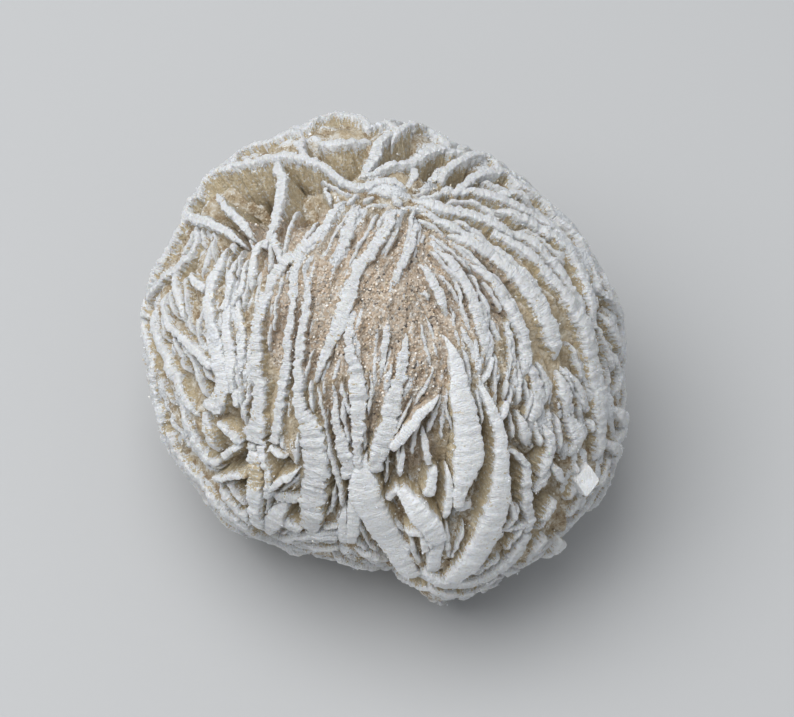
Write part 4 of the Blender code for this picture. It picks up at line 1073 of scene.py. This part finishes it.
# away from the heart the ball is crusted with honey gypsum, paler where frost sits on it
(crumb_tone, _, _), _ = cells(place, 4.5)
honey_patch = mottle(place, 1.1, 5.0) + (crumb_tone - 0.5) * 0.22
smooth_honey = ramp(mottle(place, 0.9, 3.0), SMOOTH_STOPS)
crusted = mix_colors(value_of(tree, "bare"), ramp(honey_patch, CRUST_STOPS), smooth_honey)
color = mix_colors(fade(value_of(tree, "sandy") + honey_patch * 0.5, 0.35, 0.75), crusted, color)
rough = mottle(place, 4.0, 5.0, Roughness=0.75)
frosted = fade(value_of(tree, "frost") + (rough - 0.5) * 2.2, 0.25, 0.55)
height = (rough * 1.6 - mound) * (value_of(tree, "bare") * -0.4 + 1.0)
surface_of(shader, mix_colors(frosted, color, FROST_COLOR), 0.7, height, SAND_BUMP)

make_piece("sand_heart", core, core_faces, {"sandy": amount, "frost": frost, "bare": bare}, sand)
# nothing loose lodges where the heart is bare, and the rest counts as deep
CORE_BELOW = 4.0
lodging.append((core, out, np.where(bare > 0.4, -1.0, CORE_BELOW), amount))


# --- Hidden side --------------------------------------------------------------------------------
# The rest of the rosette: rows of gypsum lenses on meridians between its two poles, and smaller
# ones that filled the gaps between the rows.
BACK_MERIDIANS = 25
BACK_BLADE_LENGTH = 15.0
BACK_OVERLAP = 1.2
BACK_SWAY = 1.0
BACK_WIDTHS = (0.9, 1.95)
BACK_LEVELS = (-0.5, 0.2)
BACK_PITCH = 0.30
FIRST_BACK_BLADE = 900
FACE_RIM = 0.6
BETWEEN_MERIDIANS = 72
BETWEEN_RIM = 4.0
BETWEEN_LENGTHS = (3.5, 10.0)
BETWEEN_WIDTHS = (0.45, 1.25)
BETWEEN_SINKS = (0.1, 0.9)
BETWEEN_PITCH = 0.38
FIRST_BETWEEN = 1200
CREST_STATIONS = 5


def meridian(turn, rim, count=60):
    """Skin points from the upper pole to the lower one, on a plane turned round their chord,
    without those in front of the rim."""
    turn = radians(turn)
    aside = cos(turn) * pole_forward + sin(turn) * pole_side
    sweep = np.linspace(0.03, 0.88, count) * pi
    rays = np.outer(-np.cos(sweep), pole_axis) + np.outer(np.sin(sweep), aside)
    found = cast(pole_middle, rays, np.full(count, 3 * HALF_DEPTH), np.zeros(count))
    return found[found[:, 2] < rim]


def swayed(crest, slant, shift=0.0):
    """A crest swung and moved sideways on the skin."""
    across = np.cross(crest[-1] - crest[0], skin_normal(crest[2:3])[0])
    across /= np.linalg.norm(across) + 1e-9
    return crest + np.outer(np.linspace(-1, 1, CREST_STATIONS) * slant + shift, across)


def lens_widths(width):
    return width * np.sin(np.linspace(0.5, pi - 0.5, CREST_STATIONS))


chance = np.random.default_rng(7)
hidden_blades = []
for number in range(BACK_MERIDIANS):
    hidden = meridian(360 * (number + chance.uniform(0.3, 0.7)) / BACK_MERIDIANS, FACE_RIM)
    if len(hidden) < 4:
        continue
    length = run_along(hidden)[-1]
    pieces = max(1, round(length / BACK_BLADE_LENGTH))
    cuts = np.linspace(0, 1, pieces + 1)
    cuts[1:-1] += chance.uniform(-0.2, 0.2, pieces - 1) / pieces
    for piece in range(pieces):
        start = max(0, cuts[piece] * length - BACK_OVERLAP)
        end = min(length, cuts[piece + 1] * length + BACK_OVERLAP)
        crest = points_along(hidden, np.linspace(start, end, CREST_STATIONS))
        crest = swayed(crest, chance.uniform(-1, 1) * BACK_SWAY)
        width = lens_widths(chance.uniform(*BACK_WIDTHS))
        hidden_blades.append((chance.uniform(*BACK_LEVELS), np.column_stack([crest, width])))
blade_piece(
    "hidden_side_blades", hidden_blades, BACK_PITCH, FIRST_BACK_BLADE, ragged=0.6, rind=0.8,
    crest_places=np.array([0.15, 0.5, 0.82, 1.0]), side_places=np.array([0.16, 0.4, 0.8, 1.5]),
)

chance = np.random.default_rng(17)
between_blades = []
for number in range(BETWEEN_MERIDIANS):
    hidden = meridian(360 * (number + chance.uniform(0.2, 0.8)) / BETWEEN_MERIDIANS, BETWEEN_RIM)
    if len(hidden) < 4:
        continue
    length = run_along(hidden)[-1]
    start = -chance.uniform(0, 5)
    while start < length - 2:
        end = start + chance.uniform(*BETWEEN_LENGTHS)
        crest = points_along(hidden, np.linspace(max(0, start), min(length, end), CREST_STATIONS))
        start = end - chance.uniform(-1.0, 0.8)
        crest = swayed(crest, chance.uniform(-0.8, 0.8), chance.uniform(-0.4, 0.4))
        width = lens_widths(chance.uniform(*BETWEEN_WIDTHS))
        if run_along(crest)[-1] > 1.5:
            between_blades.append((-chance.uniform(*BETWEEN_SINKS), np.column_stack([crest, width])))
blade_piece(
    "hidden_side_lenses", between_blades, BETWEEN_PITCH, FIRST_BETWEEN, ragged=0.6, rind=0.7,
    crest_places=np.array([0.35, 0.8, 1.0]), side_places=np.array([0.25, 0.7, 1.4]),
)


# --- Block crystal ------------------------------------------------------------------------------
# One stout gypsum crystal with flat cleavage faces, set on end low on the right: dull white, its
# edges broken a little.
BLOCK_PLACE = (58.5, 47.9)
BLOCK_EDGES = ((1.2, -1.7), (-1.4, -1.9))
BLOCK_LENGTH = 7.0
BLOCK_SUNK = 2.8
BLOCK_SQUARES = 22
BLOCK_CORNER = 1.64
BLOCK_NARROWING = 0.12
BLOCK_SLANT = 0.3
BLOCK_WEAR = ((0.05, 0.7, 51), (0.03, 0.3, 52))
BLOCK_WHITE = 0.45
BLOCK_SUGAR = 0.6
points, faces = cube(np.linspace(-1, 1, BLOCK_SQUARES + 1), False)
root = on_skin([BLOCK_PLACE])
up = 0.6 * skin_normal(root)[0] + [0, 0, 0.6]
up /= np.linalg.norm(up)
right = np.cross([0, 1.0, 0], up)
right /= np.linalg.norm(right)
ahead = np.cross(up, right)
inset = points / np.maximum(1, np.linalg.norm(points, axis=1, keepdims=True) / BLOCK_CORNER)
narrowing = 1 - BLOCK_NARROWING * np.clip(points[:, 2], 0, 1)
aside = inset[:, :2] @ np.array(BLOCK_EDGES) / 2 * narrowing[:, None]
rise = inset[:, 2] * BLOCK_LENGTH / 2 - BLOCK_SUNK + BLOCK_SLANT * points[:, 0] * (points[:, 2] > 0.9)
placed = root[0] + aside[:, :1] * right + aside[:, 1:] * ahead + rise[:, None] * up
away = aside / np.maximum(np.linalg.norm(aside, axis=1, keepdims=True), 1e-6)
placed += waves(placed, BLOCK_WEAR)[:, None] * (away[:, :1] * right + away[:, 1:] * ahead)
values = {
    "white": BLOCK_WHITE, "along": placed[:, 0], "across": placed[:, 1], "below": 0, "sandy": 0,
    "sugar": BLOCK_SUGAR,
}
values = {key: value + np.zeros(len(points)) for key, value in values.items()}
make_piece("block_crystal", placed, faces, values, gypsum)


# --- Crumbs and sand grains ---------------------------------------------------------------------
# Loose rounded quartz grains that stuck to the heart, angular chips of gypsum that sparkle in the
# grooves, and crumbs of the chalky rind. Each is mesh, half sunk in what it sticks to.
GRAINS = 1700
CHIPS = 6500
CRUMBS = 6500
LODGED_SHIFT = 0.06
GOLD = (1 + 5**0.5) / 2
ball_corners = np.array([
    (-1, GOLD, 0), (1, GOLD, 0), (-1, -GOLD, 0), (1, -GOLD, 0), (0, -1, GOLD), (0, 1, GOLD),
    (0, -1, -GOLD), (0, 1, -GOLD), (GOLD, 0, -1), (GOLD, 0, 1), (-GOLD, 0, -1), (-GOLD, 0, 1),
])
ball_corners = ball_corners / np.linalg.norm(ball_corners[0])
ball_faces = np.array([
    (0, 11, 5), (0, 5, 1), (0, 1, 7), (0, 7, 10), (0, 10, 11), (1, 5, 9), (5, 11, 4), (11, 10, 2),
    (10, 7, 6), (7, 1, 8), (3, 9, 4), (3, 4, 2), (3, 2, 6), (3, 6, 8), (3, 8, 9), (4, 9, 5),
    (2, 4, 11), (6, 2, 10), (8, 6, 7), (9, 8, 1),
])
chip_corners = np.array([(1, 0, 0), (-1, 0, 0), (0, 1, 0), (0, -1, 0), (0, 0, 1), (0, 0, -1.0)])
chip_faces = np.array([
    (0, 2, 4), (2, 1, 4), (1, 3, 4), (3, 0, 4), (2, 0, 5), (1, 2, 5), (3, 1, 5), (0, 3, 5),
])
CHIP_COLORS = (
    (0.0, (0.34, 0.25, 0.15)),
    (0.2, (0.50, 0.41, 0.27)),
    (0.5, (0.68, 0.61, 0.48)),
    (0.7, (0.82, 0.80, 0.74)),
    (1.0, (0.92, 0.92, 0.90)),
)
CRUMB_COLORS = ((0.0, (0.62, 0.59, 0.52)), (0.4, WHITE_SHADE), (0.8, WHITE))


def lodged(count, weigh, seed):
    """Random places on the finished surfaces, and outward directions there."""
    chance = np.random.default_rng(seed)
    points, pushes, below, sandy = (np.concatenate(column) for column in zip(*lodging))
    weight = weigh(points, below, sandy)
    picked = chance.choice(len(points), count, replace=False, p=weight / weight.sum())
    return points[picked] + chance.normal(0, LODGED_SHIFT, (count, 3)), pushes[picked], chance


def lumps_mesh(solid, centres, sizes, stretch, bend, chance):
    """Copies of a small solid, each turned, stretched and dented at random."""
    corners, triangles = solid
    count = len(centres)
    axes = np.linalg.qr(chance.normal(size=(count, 3, 3)))[0]
    shapes = corners[None] * (1 + bend * chance.uniform(-1, 1, (count, len(corners), 1)))
    shapes = shapes * (1 + stretch * chance.uniform(-1, 1, (count, 1, 3)))
    points = np.einsum("nij,nkj->nki", axes, shapes) * sizes[:, None, None] + centres[:, None]
    flip = np.linalg.det(axes) < 0
    faces = triangles[None] + (np.arange(count) * len(corners))[:, None, None]
    faces[flip] = faces[flip][:, :, ::-1]
    return points.reshape(-1, 3), faces.reshape(-1, 3)


def loose_piece(name, place, solid, material, sizes, rise, stretch, bend, smooth=True):
    """Many small solids lodged by (count, weight, seed), each with a tint of its own."""
    count = place[0]
    where, push, chance = lodged(*place)
    size = chance.uniform(*sizes, count)
    centres = where + rise * size[:, None] * push
    points, faces = lumps_mesh(solid, centres, size, stretch, bend, chance)
    tint = chance.uniform(0, 1, count).repeat(len(solid[0]))
    make_piece(name, points, faces, {"tint": tint}, material, smooth)


def tinted(name, colors, scale, amount, roughness):
    """Material whose colour runs over a ramp by a grain's tint, mottled a little."""
    material, tree, shader = new_material(name)
    shade = value_of(tree, "tint") + (mottle(millimetres(tree), scale, 2.0) - 0.5) * amount
    surface_of(shader, ramp(shade, colors), roughness)
    return material


def near_face(points):
    return np.clip((points[:, 2] + 6) / 8, 0.02, 1)


def grain_weight(points, below, sandy):
    return near_face(points) * sandy**1.5 * np.clip(below - 0.3, 0, 2)


def chip_weight(points, below, sandy):
    on_heart = np.where(below == CORE_BELOW, 3.0, 1.0)
    return near_face(points) * (1 - 0.6 * sandy) * np.clip(below - 0.6, 0, 2) * on_heart


def crumb_weight(points, below, sandy):
    face = near_face(points)
    by_rind = np.exp(-(((below - 0.45) / 0.35) ** 2))
    return face * (1 - 0.5 * sandy) * by_rind + 0.1 * (below == CORE_BELOW) * face


ball = (ball_corners, ball_faces)
chip = (chip_corners, chip_faces)
quartz = tinted("quartz_grain", SAND_COLORS, scale=5.0, amount=0.25, roughness=0.6)
glint = tinted("gypsum_chip", CHIP_COLORS, scale=6.0, amount=0.2, roughness=0.38)
chalk = tinted("chalk_crumb", CRUMB_COLORS, scale=6.0, amount=0.3, roughness=0.8)
loose_piece(
    "sand_grains", (GRAINS, grain_weight, 31), ball, quartz,
    sizes=(0.07, 0.15), rise=0.5, stretch=0.25, bend=0.12,
)
loose_piece(
    "gypsum_chips", (CHIPS, chip_weight, 32), chip, glint,
    sizes=(0.06, 0.14), rise=0.35, stretch=0.45, bend=0.25, smooth=False,
)
loose_piece(
    "chalk_crumbs", (CRUMBS, crumb_weight, 33), chip, chalk,
    sizes=(0.04, 0.11), rise=0.2, stretch=0.45, bend=0.3,
)


# --- Floor, light and camera --------------------------------------------------------------------
# The stone lies on a wide sheet of grey paper under one overhead softbox, in a bright room of
# faintly blue light. The camera looks at the show face square on, from 45 centimetres.
FLOOR_REACH = 1.5
PAPER_GREY = (0.46, 0.46, 0.46)
ROOM_COLOR = (0.915, 0.955, 1.0)
ROOM_LIGHT = 0.535
SOFTBOX_PLACE = (-0.14, 0.0, 0.42)
SOFTBOX_SIZE = 0.4
SOFTBOX_POWER = 2.13
SOFTBOX_COLOR = (0.98, 0.99, 1.0)
CAMERA_SENSOR = 36.0
CAMERA_LENS = 204.1
AIM_RIGHT = 1.2
AIM_UP = 0.15

floor_mesh = bpy.data.meshes.new("floor")
corners = [(x * FLOOR_REACH, y * FLOOR_REACH, 0) for x, y in ((-1, -1), (1, -1), (1, 1), (-1, 1))]
floor_mesh.from_pydata(corners, [], [(0, 1, 2, 3)])
floor = bpy.data.objects.new("floor", floor_mesh)
bpy.context.scene.collection.objects.link(floor)
paper, _, shader = new_material("pale_paper")
surface_of(shader, PAPER_GREY, 0.9)
floor_mesh.materials.append(paper)

world = bpy.data.worlds.new("studio")
bpy.context.scene.world = world
world.use_nodes = True
room = world.node_tree.nodes["Background"]
room.inputs["Color"].default_value = (*ROOM_COLOR, 1)
room.inputs["Strength"].default_value = ROOM_LIGHT

middle = Vector(STONE_MIDDLE * MM)
lamp = bpy.data.lights.new("overhead_softbox", "AREA")
lamp.shape = "SQUARE"
lamp.size = SOFTBOX_SIZE
lamp.energy = SOFTBOX_POWER
lamp.color = SOFTBOX_COLOR
softbox = bpy.data.objects.new("overhead_softbox", lamp)
softbox.location = middle + Vector(SOFTBOX_PLACE)
softbox.rotation_euler = (middle - softbox.location).to_track_quat("-Z", "Y").to_euler()
bpy.context.scene.collection.objects.link(softbox)

camera_data = bpy.data.cameras.new("camera")
camera_data.sensor_width = CAMERA_SENSOR
camera_data.lens = CAMERA_LENS
camera_data.clip_start = 0.05
camera = bpy.data.objects.new("camera", camera_data)
out_of_face = Vector((0, -cos(FACE_TILT), sin(FACE_TILT)))
up_face = Vector((0, sin(FACE_TILT), cos(FACE_TILT)))
aim = middle + MM * (AIM_RIGHT * Vector((1, 0, 0)) + AIM_UP * up_face)
camera.location = aim + SIGHT_DISTANCE * MM * out_of_face
camera.rotation_euler = Euler((pi / 2 - FACE_TILT, 0, 0))
bpy.context.scene.collection.objects.link(camera)
bpy.context.scene.camera = camera
bpy.context.scene.view_settings.view_transform = "Standard"
